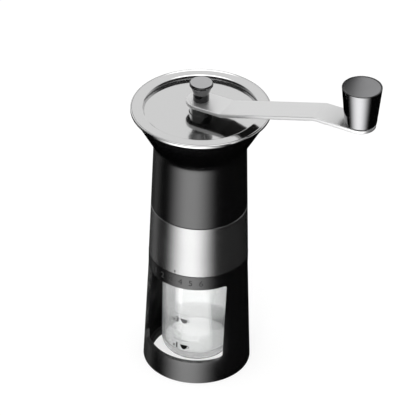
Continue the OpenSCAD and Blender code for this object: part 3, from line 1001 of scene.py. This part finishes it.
@dataclass
class Hopper:
    """The flared black hopper, the steel rim and the loose mirror-finished lid.

    Attributes:
        wall: The hopper's wall.
        low_r: Its radius at the foot.
        neck_r: Its radius at the neck.
        flare_r: Its radius under the rim.
        neck_z: Height of the neck.
        neck_round: Radius of the curve at the neck.
        flange_w: Width of the rim's flat flange, from the skirt to the recess.
        sheet: Thickness of the steel.
        ledge: Width of the ledge that carries the lid.
        bead: Width of the raised edges of the flange.
        sink: Depth of the flange between them.
        bank: Width of the slope on the inner side of a raised edge.
        skirt_in: How much narrower the hopper's bore is than its foot.
        throat_r: Radius of the hole in the plate across the bore.
        throat_z: Heights of that plate's two faces and of the bore's top over the hopper's foot.
        rim_h: Height of the rim's outer skirt.
        flare_end: Height of the flare's end over the rim's foot.
        slant: How much wider the sloping wall is when it is measured level.
        rim_gap: Gap between the rim's skirt and the hopper.
        lid_gap: Gap between the lid's hole and the collar.
    """

    wall: float = 2.3 * MM
    low_r: float = 33.71 * MM
    neck_r: float = 32.31 * MM
    flare_r: float = 47.41 * MM
    neck_z: float = 180.0 * MM
    neck_round: float = 8.0 * MM
    flange_w: float = 8.44 * MM
    sheet: float = 0.8 * MM
    ledge: float = 2.5 * MM
    bead: float = 1.0 * MM
    sink: float = 0.42 * MM
    bank: float = 0.85 * MM
    skirt_in: float = 2.6 * MM
    throat_r: float = 26.0 * MM
    throat_z: tuple[float, float, float] = (5.5 * MM, 8.5 * MM, 12.5 * MM)
    rim_h: float = 2.3 * MM
    flare_end: float = 2.6 * MM
    slant: float = 1.14
    rim_gap: float = 0.05 * MM
    lid_gap: float = 0.3 * MM

    def build(self) -> None:
        """Makes the three turned pieces."""
        self._shell()
        self._rim()
        self._lid()

    def _shell(self) -> None:
        """The hopper: a slight cone, a curved neck and a straight flare."""
        low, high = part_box("hopper_shell")
        skirt = self.low_r - self.skirt_in
        edge_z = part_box("rim_ring")[0].z + self.flare_end
        flare_in = self.flare_r - self.wall * self.slant
        under, over, end = (low.z + rise for rise in self.throat_z)
        outline = rounded(
            [
                (skirt, low.z), (self.low_r, low.z, 0.25 * MM),
                (self.neck_r, self.neck_z, self.neck_round),
                (self.flare_r, edge_z), (self.flare_r, high.z, 0.3 * MM),
                (flare_in, high.z, 0.3 * MM), (flare_in, edge_z, 1.0 * MM),
                (self.neck_r - self.wall, self.neck_z, 5.0 * MM),
                (skirt, end), (skirt, over), (self.throat_r, over), (self.throat_r, under), (skirt, under),
            ]
        )
        settle(lathe("hopper_moulding", outline), SATIN_BLACK, "grinder", "hopper_shell")

    def _rim(self) -> None:
        """The rim: a rolled outer skirt, a flat flange, a lip, a short wall and the lid's ledge."""
        low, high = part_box("rim_ring")
        outer, recess = high.x, high.x - self.flange_w
        skirt_z, flange_z = high.z - self.rim_h, high.z - self.sheet
        ledge_z = low.z + self.sheet
        skirt_in, wall_in, ledge_in = self.flare_r + self.rim_gap, recess + self.sheet, recess - self.ledge
        outline = rounded(
            [
                (recess, high.z - self.sink, 0.15 * MM), (recess + self.bank, high.z, 0.4 * MM),
                (recess + self.bank + self.bead, high.z, 0.8 * MM),
                (outer - self.bead - self.bank, high.z - self.sink, 0.4 * MM),
                (outer - self.bead, high.z, 0.4 * MM),
                (outer, high.z, 0.8 * MM), (outer, skirt_z, 0.3 * MM),
                (skirt_in, skirt_z), (skirt_in, flange_z, 0.3 * MM),
                (wall_in, flange_z, 0.2 * MM), (wall_in, low.z, 0.3 * MM),
                (ledge_in, low.z), (ledge_in, ledge_z, 0.2 * MM), (recess, ledge_z, 0.15 * MM),
            ]
        )
        settle(lathe("steel_rim", outline), POLISHED, "grinder", "rim_ring")

    def _lid(self) -> None:
        """The lid: a thin disc with a round hole for the collar."""
        low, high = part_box("lid")
        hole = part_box("hub_collar")[1].x + self.lid_gap
        outline = rounded(
            [
                (hole, low.z, 0.2 * MM), (high.x, low.z, 0.2 * MM),
                (high.x, high.z, 0.3 * MM), (hole, high.z, 0.25 * MM),
            ]
        )
        settle(lathe("mirror_lid", outline), POLISHED, "lid", "lid")


# --------------------------------------------------------------------------- crank


@dataclass
class Crank:
    """The cranked arm, the collar under it and the cap nut on top.

    Attributes:
        bend_x: Distance of the first bend from the hub.
        slope_l: Distance between the bends.
        sheet: Thickness of the arm.
        bevel: Rounding of the arm's edges.
        bend_soft: Half length over which a bend turns.
        collar_bore: Radius of the collar's bore.
        nut_bore: Radius of the nut's bore.
        nut_depth: Depth of that bore.
        shank_in: How much narrower the nut's shank is than its head.
        shank_h: Height of the shank.
        cone_in: How much narrower the cone's top is than the head.
        steps: Number of steps round the turned pieces.
    """

    bend_x: float = 20.0 * MM
    slope_l: float = 70.4 * MM
    sheet: float = 2.7 * MM
    bevel: float = 0.55 * MM
    bend_soft: float = 0.7 * MM
    collar_bore: float = 4.02 * MM
    nut_bore: float = 3.05 * MM
    nut_depth: float = 10.2 * MM
    shank_in: float = 2.6 * MM
    shank_h: float = 5.6 * MM
    cone_in: float = 0.6 * MM
    steps: int = 160
    low: Vector = field(init=False)
    high: Vector = field(init=False)

    def __post_init__(self) -> None:
        """Takes the arm's width, length and rise from the frame's box."""
        self.low, self.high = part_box("crank_arm")
        self.half_w = self.high.y
        self.length = self.high.x - self.half_w
        self.rise = self.high.z - self.low.z - self.sheet

    def _lift(self, x: np.ndarray, shift: float) -> np.ndarray:
        """Height of the arm over its hub: level, then a ramp, then level.

        Args:
            x: Distances from the hub.
            shift: How far the bends are moved outwards, as the underside's are.

        Returns:
            The ramp's rise, with each bend eased by a parabola.
        """
        soft, slope = self.bend_soft, self.rise / self.slope_l

        def ramp(t: np.ndarray) -> np.ndarray:
            """Returns max(t, 0), with a parabola in place of the corner."""
            return np.where(t > soft, t, np.where(t < -soft, 0.0, (t + soft) ** 2 / (4 * soft)))

        start = self.bend_x + shift
        return slope * (ramp(x - start) - ramp(x - start - self.slope_l))

    def _stations(self) -> tuple[np.ndarray, np.ndarray]:
        """The arm's outline as points on its middle line and the directions outwards from them.

        Returns:
            Middle points (x, 0), and unit directions, both once round the outline.
        """
        bends = [self.bend_x, self.bend_x + self.slope_l]
        close = [b + s for b in bends for s in np.linspace(-1.4, 2.0, 12) * MM]
        side = np.unique(np.concatenate([np.linspace(0.0, self.length, 60), close]))
        half_turn = np.linspace(0.0, math.pi, 49)[1:-1]
        far = math.pi / 2 - half_turn
        near = -math.pi / 2 - half_turn
        middle = np.concatenate([side, np.full(len(far), self.length), side[::-1], np.zeros(len(near))])
        angle = np.concatenate(
            [np.full(len(side), math.pi / 2), far, np.full(len(side), -math.pi / 2), near]
        )
        return np.stack([middle, 0 * middle], -1), np.stack([np.cos(angle), np.sin(angle)], -1)

    def _arm(self) -> bpy.types.Object:
        """The arm: a section with rounded edges carried once round the outline.

        Returns:
            The piece, with its underside in a second material slot, whose near-black finish is painted shade.
        """
        middle, outwards = self._stations()
        quarter = np.linspace(0.0, math.pi / 2, 5)
        inset = self.bevel * (1 - np.sin(quarter))
        sink = self.bevel * (1 - np.cos(quarter))
        flat = [self.half_w, self.half_w * 0.5, self.bevel + 0.3 * MM]
        reach = self.half_w - np.concatenate([flat, inset, inset[::-1], flat[::-1]])
        depth = np.concatenate([[0.0] * 3, sink, -sink[::-1], [0.0] * 3])
        under = np.concatenate([np.zeros(8, bool), np.ones(8, bool)])
        plan = middle[None] + outwards[None] * reach[:, None, None]
        x = plan[..., 0]
        shift = self.sheet * math.tan(math.atan(self.rise / self.slope_l) / 2)
        top = self.low.z + self.sheet + self._lift(x, 0.0)
        bottom = self.low.z + self._lift(x, shift)
        z = np.where(under[:, None], bottom, top) - depth[:, None]
        points = np.concatenate([plan, z[..., None]], -1)
        quads = grid_quads(len(reach), len(middle), False, True)
        piece = mesh_from("crank_plate", points.reshape(-1, 3), quads)
        piece.data.materials.append(SATIN_STEEL.make())
        piece.data.materials.append(PAINTED_SHADE_UNDERSIDE.make())
        # Faces that look down take the near-black finish: painted shade under the arm.
        paint(piece, lambda normal: normal[:, 2] < -0.85)
        return piece

    def build(self) -> None:
        """Makes the arm, the collar and the nut."""
        settle(self._arm(), SATIN_STEEL, "crank", "crank_arm")
        low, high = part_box("hub_collar")
        bore, side = self.collar_bore, high.x
        collar = rounded([(bore, low.z), (side, low.z, 0.2 * MM), (side, high.z, 0.3 * MM), (bore, high.z)])
        settle(lathe("arm_collar", collar, steps=self.steps), POLISHED, "crank", "hub_collar")
        self._nut()

    def _nut(self) -> None:
        """The cap nut: a short shank, a cone that widens upwards and a thin flat head."""
        low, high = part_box("cap_nut")
        head_r = high.x
        shank_r, shank_z = head_r - self.shank_in, low.z + self.shank_h
        outline = rounded(
            [
                (self.nut_bore, low.z), (shank_r, low.z, 0.25 * MM), (shank_r, shank_z, 1.2 * MM),
                (head_r - self.cone_in, high.z - 2.5 * MM, 0.2 * MM), (head_r, high.z - 2.1 * MM, 0.2 * MM),
                (head_r, high.z - 0.7 * MM, 0.25 * MM), (head_r - 0.7 * MM, high.z, 0.25 * MM),
                (0.0, high.z),
            ],
            closed=False,
        )
        blind_z = low.z + self.nut_depth
        loop = np.vstack([[[0.0, blind_z], [self.nut_bore, blind_z]], outline])
        nut = lathe("finger_nut", loop, closed=False, steps=self.steps)
        nut.data.materials.append(GREY_STEEL.make())
        nut.data.materials.append(NUT_SIDE_PAINTED_SHADE.make())
        # Every face but the flat top takes the darker copy: painted shade on the nut's sides.
        paint(nut, lambda normal: normal[:, 2] < 0.9)
        settle(nut, GREY_STEEL, "cap_nut", "cap_nut")


# --------------------------------------------------------------------------- knob


@dataclass
class Knob:
    """The tapered knob with its inset, slightly dished top.

    Attributes:
        foot_r: Radius at the foot.
        lip: Width of the lip round the top.
        dish: Depth of the top's dish.
        bore: Radius of the bore for the pin.
        seat_r: Radius of the pocket over the bore.
        seat_h: Depth of that pocket.
        steps: Number of steps round the knob.
    """

    foot_r: float = 10.9 * MM
    lip: float = 0.9 * MM
    dish: float = 0.5 * MM
    bore: float = 3.05 * MM
    seat_r: float = 5.1 * MM
    seat_h: float = 2.7 * MM
    steps: int = 192

    def build(self) -> None:
        """Makes the knob and its top."""
        low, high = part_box("knob")
        centre = ((low.x + high.x) / 2, 0.0)
        top_r = (high.x - low.x) / 2
        cap_low, cap_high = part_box("knob_cap")
        lip_r, seat_z = top_r - self.lip, cap_low.z - self.seat_h
        outline = rounded(
            [
                (self.bore, low.z), (self.foot_r, low.z, 0.7 * MM), (top_r, high.z, 0.45 * MM),
                (lip_r, high.z, 0.2 * MM), (lip_r, cap_low.z),
                (self.seat_r, cap_low.z), (self.seat_r, seat_z), (self.bore, seat_z),
            ]
        )
        body = lathe("knob_body", outline, centre, steps=self.steps)
        body.data.materials.append(BLACK_CHROME.make())
        body.data.materials.append(SATIN_BLACK.make())
        # The lip's upward faces take the black moulding finish: a painted dark line of shade between the top
        # and the side.
        paint(body, lambda normal: normal[:, 2] > 0.2)
        settle(body, BLACK_CHROME, "knob", "knob")
        cap_r = (cap_high.x - cap_low.x) / 2
        across = np.linspace(cap_r - 0.25 * MM, 0.0, 24)
        dish = cap_high.z - self.dish * (1 - (across / cap_r) ** 2)
        top = np.vstack(
            [
                [[0.0, cap_low.z], [cap_r, cap_low.z], [cap_r, cap_high.z - 0.2 * MM]],
                np.stack([across, dish], -1),
            ]
        )
        cap = lathe("knob_top", top, centre, closed=False, steps=self.steps)
        settle(cap, CAP_SATIN, "knob", "knob_cap")


# --------------------------------------------------------------------------- jar


@dataclass(frozen=True)
class CupMark:
    """One level mark on the jar: a line, and a number of cups under it.

    Attributes:
        cups: The number.
        line_z: Height of the line.
        finish: The print's finish.
    """

    cups: int
    line_z: float
    finish: Finish


@dataclass
class Jar:
    """The glass jar with its two level marks.

    Attributes:
        wall: The glass wall.
        floor: Thickness of the bottom.
        foot_round: Rounding of the jar's foot.
        marks: The level marks.
        drop: Distance from a line down to the middle of the print under it.
        line: Length and height of a line.
        cup: Width and height of the cup's bowl.
        cup_shift: How far the cup stands to the right of the middle.
    """

    wall: float = 2.2 * MM
    floor: float = 7.4 * MM
    foot_round: float = 8.5 * MM
    marks: tuple[CupMark, ...] = (CupMark(1, 26.7 * MM, PRINT_DARK), CupMark(3, 49.3 * MM, PRINT_GREY))
    drop: float = 5.6 * MM
    line: tuple[float, float] = (12.2 * MM, 0.24 * MM)
    cup: tuple[float, float] = (5.2 * MM, 3.9 * MM)
    cup_shift: float = 2.6 * MM

    def build(self) -> None:
        """Makes the glass and prints the marks."""
        low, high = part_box("jar")
        outer, inner = high.x, high.x - self.wall
        outline = rounded(
            [
                (0.0, low.z), (outer, low.z, self.foot_round), (outer, high.z, 0.8 * MM),
                (inner, high.z, 0.8 * MM), (inner, low.z + self.floor, 2.5 * MM), (0.0, low.z + self.floor),
            ],
            closed=False,
        )
        settle(lathe("jar_shell", outline, closed=False), JAR_GLASS, "jar", "jar")
        for mark in self.marks:
            self._print(mark, outer)

    def _print(self, mark: CupMark, radius: float) -> None:
        """Prints one mark on the front of the jar.

        Args:
            mark: The mark.
            radius: The jar's radius.
        """
        name = f"mark_{mark.cups}"
        middle = mark.line_z - self.drop
        line = flat_strip(name + "_line", *self.line)
        lay_on(line, radius, 0.0, mark.line_z)
        settle(line, mark.finish, "jar")
        for part, text, tall, bold, shift, down in (
            ("_times", "x", 2.9 * MM, 0.1 * MM, -5.4 * MM, 0.3 * MM),
            ("_number", str(mark.cups), 4.6 * MM, 0.22 * MM, -2.9 * MM, 0.0),
        ):
            letter = print_text(name + part, text, tall, bold)
            lay_on(letter, radius, 0.0, middle - down, shift)
            settle(letter, mark.finish, "jar")
        cup = cup_shape(name + "_cup", *self.cup)
        lay_on(cup, radius, 0.0, middle, self.cup_shift)
        settle(cup, mark.finish, "jar")


def flat_strip(name: str, wide: float, tall: float, columns: int = 33) -> bpy.types.Object:
    """A thin flat strip of print: a level grid (across, up) with a thickness.

    Args:
        name: The piece's name.
        wide: Its width.
        tall: Its height.
        columns: Number of points across it.

    Returns:
        The strip, about the origin.
    """
    across = np.linspace(-wide / 2, wide / 2, columns)[None]
    up = np.array([-tall / 2, tall / 2])[:, None]
    flat = np.stack([across + 0 * up, up + 0 * across, 0 * across * up], -1)
    return mesh_from(name, *slab(flat.reshape(-1, 3), 2, columns, PRINT_THICK, False), PRINT_EDGE)


def cup_shape(name: str, wide: float, tall: float) -> bpy.types.Object:
    """A small cup seen from the side: a bowl with a round bottom, and a round handle on its right.

    The bowl's half width at share v of its height is a quarter of a superellipse. The handle is a
    ring: its middle line runs round a circle at the bowl's edge.

    Args:
        name: The piece's name.
        wide: Width of the bowl.
        tall: Height of the bowl.

    Returns:
        The cup, about the origin.
    """
    rows, columns, around = 15, 9, 24
    share = np.linspace(0.0, 1.0, rows)[:, None]
    across = np.linspace(-0.5, 0.5, columns)[None]
    half = (1 - (1 - share) ** 2.2) ** 0.62
    bowl = np.stack([across * wide * half, (share - 0.5) * tall + 0 * across, 0 * share * across], -1)
    turn = np.linspace(0.0, 2 * math.pi, around, endpoint=False)[:, None]
    ring = np.array([0.95, 1.45])[None] * MM
    x, y = wide * 0.5 + ring * np.cos(turn), tall * 0.16 + ring * np.sin(turn) * 0.85
    handle = np.stack([x, y, 0 * ring * turn], -1)
    parts = [
        slab(bowl.reshape(-1, 3), rows, columns, PRINT_THICK, False),
        slab(handle.reshape(-1, 3), around, 2, PRINT_THICK, True),
    ]
    return join(name, parts, PRINT_EDGE)


def slab(
    points: np.ndarray, rows: int, columns: int, thick: float, loop: bool
) -> tuple[np.ndarray, np.ndarray]:
    """Gives a flat grid a thickness and closed edges.

    Args:
        points: The grid's points, row by row.
        rows: Number of rows.
        columns: Number of points in a row.
        thick: The thickness.
        loop: True where the last row joins the first.

    Returns:
        Points and quads of the closed slab.
    """
    count = rows * columns
    quads = grid_quads(rows, columns, loop)
    low, high = points.copy(), points.copy()
    high[:, 2] += thick
    faces = [quads, quads[:, ::-1] + count]
    if loop:
        for column in (0, columns - 1):
            a = np.arange(rows) * columns + column
            b = np.roll(a, -1)
            faces.append(np.stack([a, b, b + count, a + count], -1))
    else:
        a = np.concatenate(
            [
                np.arange(columns - 1), np.arange(columns - 1, count - 1, columns),
                np.arange(count - 1, count - columns, -1), np.arange(count - columns, 0, -columns),
            ]
        )
        b = np.roll(a, -1)
        faces.append(np.stack([a, b, b + count, a + count], -1))
    return np.vstack([low, high]), np.vstack(faces)


# --------------------------------------------------------------------------- studio


def ring_sheet(inner: float, outer: float, first: float, last: float, height: float) -> np.ndarray:
    """Points of a level sheet between two radii and two bearings, as two rows of SHEET_STEPS.

    Args:
        inner: The inner radius.
        outer: The outer radius.
        first: The first bearing, in degrees from the front, positive towards +X.
        last: The last bearing.
        height: Its height.

    Returns:
        The points, row by row.
    """
    turn = np.radians(np.linspace(first, last, SHEET_STEPS))[None]
    radius = np.array([inner, outer])[:, None]
    points = np.stack([radius * np.sin(turn), -radius * np.cos(turn), height + 0 * radius * turn], -1)
    return points.reshape(-1, 3)


@dataclass(frozen=True)
class MirrorCard:
    """A curved card on part of an upright cylinder.

    Attributes:
        name: Its name.
        centre_x: Where the cylinder's axis stands on the X axis.
        radius: The cylinder's radius.
        middle: Bearing of its middle, in degrees from the front, positive towards +X.
        spread: How far it reaches to each side of that, in degrees.
        soft: How much of that fades, in degrees.
        low: Height of its lower edge.
        high: Height of its upper edge.
        strength: Its brightness in the middle.
    """

    name: str
    centre_x: float
    radius: float
    middle: float
    spread: float
    soft: float
    low: float
    high: float
    strength: float


@dataclass
class Studio:
    """White studio: world, floor, lamps and camera.

    Attributes:
        azimuth: Where the camera stands, in degrees from the front, positive towards +X.
        elevation: Its height above the level, in degrees.
        roll: Its roll, in degrees.
        station: Its place before it is turned to the azimuth, in metres.
        focal: Focal length on a 36 mm sensor, in mm.
        card: Brightness of the big soft card that glossy walls reflect.
        dark: Brightness of the room below the level between the cards.
        side: Brightness of the faint card at the left.
        floor_grey: The floor's colour under the lamps.
        floor_glow: The floor's own light, which keeps it white.
        flag_tilt: How far the flag by the knob is turned about the mirrored line of sight, in degrees.
    """

    azimuth: float = 27.5
    elevation: float = 34.83
    roll: float = 1.13
    station: tuple[float, float, float] = (0.00617, -2.18761, 1.6475)
    focal: float = 330.64
    card: float = 2.7
    dark: float = 0.005
    side: float = 0.16
    floor_grey: float = 0.3
    floor_glow: float = 0.72
    flag_tilt: float = 32.0

    def build(self) -> None:
        """Makes the whole studio."""
        view = bpy.context.scene.view_settings
        view.view_transform = "Standard"
        self._world()
        self._floor()
        self._cards()
        self._lamps()
        self._camera()

    def _world(self) -> None:
        """White all round, except for mirrored rays, which meet a dark room with soft cards.

        The floor is hidden from them, so upright walls mirror the lower half: one broad card in
        front, faint ones at the back, and paler cards near the level. Above, a dark flag behind the
        camera gives contrast, and a glow overhead lights the rolled edges.
        """
        world = bpy.data.worlds.new("studio")
        bpy.context.scene.world = world
        world.use_nodes = True
        world.cycles.sampling_method = "NONE"
        graph = Graph(world.node_tree)
        x, y, z = graph.split(graph.add("ShaderNodeTexCoord", output="Generated"))
        bearing = x.math("ARCTAN2", y * -1.0) * math.degrees(1.0)

        def card(middle: float, half: float, soft: float) -> Wire:
            """Returns 1 within half a width of a bearing, and 0 outside, with soft sides."""
            off = ((bearing - middle + 540.0).math("FLOORED_MODULO", 360.0) - 180.0).math("ABSOLUTE")
            return off.rise(half - soft, half + soft, 1.0, 0.0)

        front = card(8.5, 35.0, 30.0) * self.card + card(-94.0, 12.0, 12.0) * self.side
        low = front * z.rise(-0.72, -0.62) + card(233.0, 30.0, 12.0) * (self.side * 0.3) + self.dark
        level = card(2.5, 38.0, 16.0) * 1.6 + card(120.0, 16.0, 10.0) * 1.3
        level = level + card(235.0, 24.0, 12.0) * 1.4 + 0.06
        near = z.rise(-0.28, -0.1)
        below = low * (1.0 - near) + level * near
        flag = card(self.azimuth, 108.0, 24.0) * z.rise(0.1, 0.3) * z.rise(0.76, 0.86, 1.0, 0.0)
        above = 1.0 - flag * 0.95 + z.rise(0.88, 0.96) * 1.6
        up = z.rise(-0.03, 0.02)
        pattern = below * (1.0 - up) + above * up
        path = graph.add("ShaderNodeLightPath", output="Is Glossy Ray")
        passing = Wire(graph, path.socket.node.outputs["Is Transmission Ray"])
        mirrored = path * (1.0 - passing)
        strength = pattern * mirrored + (1.0 - mirrored)
        sockets = {"Color": (1.0, 1.0, 1.0, 1.0), "Strength": strength}
        background = graph.add("ShaderNodeBackground", sockets=sockets)
        graph.add("ShaderNodeOutputWorld", sockets={"Surface": background})

    def _floor(self) -> None:
        """A round white floor that keeps the object's shadow and is hidden from glossy rays."""
        turn = np.linspace(0.0, 2 * math.pi, 96, endpoint=False)
        reach = np.array([0.0, 0.3, 1.0, 3.0, 9.0])[:, None]
        points = np.stack([reach * np.cos(turn), reach * np.sin(turn), 0 * reach * turn], -1)
        floor = mesh_from("studio_floor", points.reshape(-1, 3), grid_quads(5, 96, False, True))
        material, graph = blank_material("studio_floor")
        diffuse = graph.add("ShaderNodeBsdfDiffuse", sockets={"Color": (self.floor_grey,) * 3 + (1.0,)})
        glow = graph.glow(self.floor_glow)
        graph.surface(graph.add("ShaderNodeAddShader", sockets={0: diffuse, 1: glow}))
        material.cycles.emission_sampling = "NONE"
        floor.data.materials.append(material)
        floor.visible_glossy = False

    def _mirror_card(self, card: MirrorCard) -> None:
        """Puts up a curved card that only mirror-like surfaces show, fading towards its sides.

        Args:
            card: Its place and brightness.
        """
        rows = 4
        turn = np.radians(np.linspace(card.middle - card.spread, card.middle + card.spread, SHEET_STEPS))
        height = np.linspace(card.low, card.high, rows)[:, None]
        x, y = card.centre_x + card.radius * np.sin(turn), -card.radius * np.cos(turn)
        points = np.stack([x + 0 * height, y + 0 * height, height + 0 * turn], -1)
        piece = mesh_from(card.name, points.reshape(-1, 3), grid_quads(rows, SHEET_STEPS))
        material, graph = blank_material(card.name)
        x, y, _ = graph.split(graph.position())
        bearing = (x - card.centre_x).math("ARCTAN2", y * -1.0) * math.degrees(1.0)
        off = (bearing - card.middle).math("ABSOLUTE")
        fade = off.rise(card.spread - card.soft, card.spread, 1.0, 0.0)
        nothing = graph.add("ShaderNodeBsdfTransparent")
        graph.surface(
            graph.add("ShaderNodeMixShader", sockets={0: fade, 1: nothing, 2: graph.glow(card.strength)})
        )
        self._only_mirrored(piece, material)

    @staticmethod
    def _only_mirrored(piece: bpy.types.Object, material: bpy.types.Material) -> None:
        """Hides a stage piece from everything but mirror-like surfaces.

        Args:
            piece: The piece.
            material: Its material.
        """
        material.cycles.emission_sampling = "NONE"
        piece.data.materials.append(material)
        for kind in ("camera", "diffuse", "transmission", "volume_scatter", "shadow"):
            setattr(piece, "visible_" + kind, False)

    def _cards(self) -> None:
        """A card low in front of the window, one round the front of the knob, and a flag above it.

        The jar's wall mirrors the first card. The walls above and below the window look over or
        under it, and a shade under the flare hides it from there. The knob's sides mirror the second
        card, a shade on its left, and the left of its top mirrors the flag.
        """
        low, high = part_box("knob_cap")
        knob_x = (low.x + high.x) / 2
        self._mirror_card(MirrorCard("jar_card", 0.0, 55 * MM, 16.0, 56.0, 24.0, 10 * MM, 52 * MM, 5.5))
        foot, head = high.z - 77 * MM, high.z - 31 * MM
        self._mirror_card(MirrorCard("knob_card", knob_x, 50 * MM, 13.0, 67.0, 64.0, foot, head, 3.0))
        shade = ring_sheet(33.3 * MM, 66 * MM, -180.0, 180.0, 179.5 * MM)
        self._dark_sheet("flare_shade", shade, SHEET_STEPS)
        steps, radius = 24, 15 * MM
        turn = np.radians(np.linspace(-165.0, -37.0, steps))[None]
        height = np.array([high.z - 24 * MM, high.z - 0.5 * MM])[:, None]
        x, y = knob_x + radius * np.sin(turn) + 0 * height, -radius * np.cos(turn) + 0 * height
        side = np.stack([x, y, height + 0 * turn], -1)
        self._dark_sheet("knob_shade", side.reshape(-1, 3), steps)
        angle, rise = math.radians(self.azimuth), math.radians(self.elevation)
        left = np.array([-math.cos(angle), -math.sin(angle), 0.0])
        away = np.array([-math.sin(angle) * math.cos(rise), math.cos(angle) * math.cos(rise), math.sin(rise)])
        front = np.cross(away, left)
        cosine, sine = math.cos(math.radians(self.flag_tilt)), math.sin(math.radians(self.flag_tilt))
        across = np.array([3 * MM, 22 * MM])[None, :, None] * (left * cosine - front * sine)
        along = np.array([-12 * MM, 12 * MM])[:, None, None] * (left * sine + front * cosine)
        corners = np.array([knob_x, 0.0, high.z]) + 34 * MM * away + across + along
        self._dark_sheet("knob_flag", corners.reshape(-1, 3), 2)

    def _dark_sheet(self, name: str, points: np.ndarray, columns: int) -> None:
        """Puts up a black sheet that only mirror-like surfaces show.

        Args:
            name: Its name.
            points: Its grid of points, row by row.
            columns: Number of points in a row.
        """
        piece = mesh_from(name, points, grid_quads(len(points) // columns, columns))
        material, graph = blank_material(name)
        graph.surface(graph.add("ShaderNodeBsdfDiffuse", sockets={"Color": (0.0, 0.0, 0.0, 1.0)}))
        self._only_mirrored(piece, material)

    def _lamps(self) -> None:
        """A broad soft lamp above, for a faint shadow, and a low one that lights the jar."""
        for name, size, energy, place, aim in (
            ("key", 1.6, 2.5, (-0.6, -0.9, 1.9), (0.0, 0.0, 0.1)),
            ("fill", 0.3, 2.4, (0.2, -0.66, 0.18), (0.0, 0.0, 0.045)),
        ):
            lamp = bpy.data.lights.new(name, "AREA")
            lamp.shape = "DISK"
            lamp.size = size
            lamp.energy = energy
            lit = bpy.data.objects.new(name, lamp)
            lit.location = place
            lit.rotation_euler = (Vector(aim) - lit.location).to_track_quat("-Z", "Y").to_euler()
            lit.visible_glossy = False
            bpy.context.scene.collection.objects.link(lit)

    def _camera(self) -> None:
        """The camera: its place and aim in the front view's frame, turned about the upright axis."""
        turn = Matrix.Rotation(math.radians(self.azimuth), 4, "Z")
        up_angle, roll = math.radians(self.elevation), math.radians(self.roll)
        right = Vector((1.0, 0.0, 0.0))
        up = Vector((0.0, math.sin(up_angle), math.cos(up_angle)))
        back = Vector((0.0, -math.cos(up_angle), math.sin(up_angle)))
        rolled_right = right * math.cos(roll) + up * math.sin(roll)
        rolled_up = up * math.cos(roll) - right * math.sin(roll)
        basis = Matrix((rolled_right, rolled_up, back)).transposed().to_4x4()
        basis.translation = Vector(self.station)
        data = bpy.data.cameras.new("camera")
        data.sensor_width = 36.0
        data.lens = self.focal
        data.clip_end = 50.0
        camera = bpy.data.objects.new("camera", data)
        camera.matrix_world = turn @ basis
        bpy.context.scene.collection.objects.link(camera)
        bpy.context.scene.camera = camera


def dress_inner_parts(nodes: dict[str, bpy.types.Object]) -> None:
    """Gives every CAD node that stays its finish.

    Args:
        nodes: The CAD nodes by name.
    """
    for finish, names in INNER_FINISHES.items():
        for name in names:
            mesh = nodes[name].data
            mesh.materials.clear()
            mesh.materials.append(finish.make())


def main() -> None:
    """Builds the studio and every piece of the grinder, in order."""
    logging.basicConfig(level=logging.INFO, format="%(name)s: %(message)s")
    Studio().build()
    dress_inner_parts(frame["nodes"])
    for part in (Base(), Band(), Hopper(), Crank(), Knob(), Jar()):
        part.build()


if __name__ == "__main__":
    main()
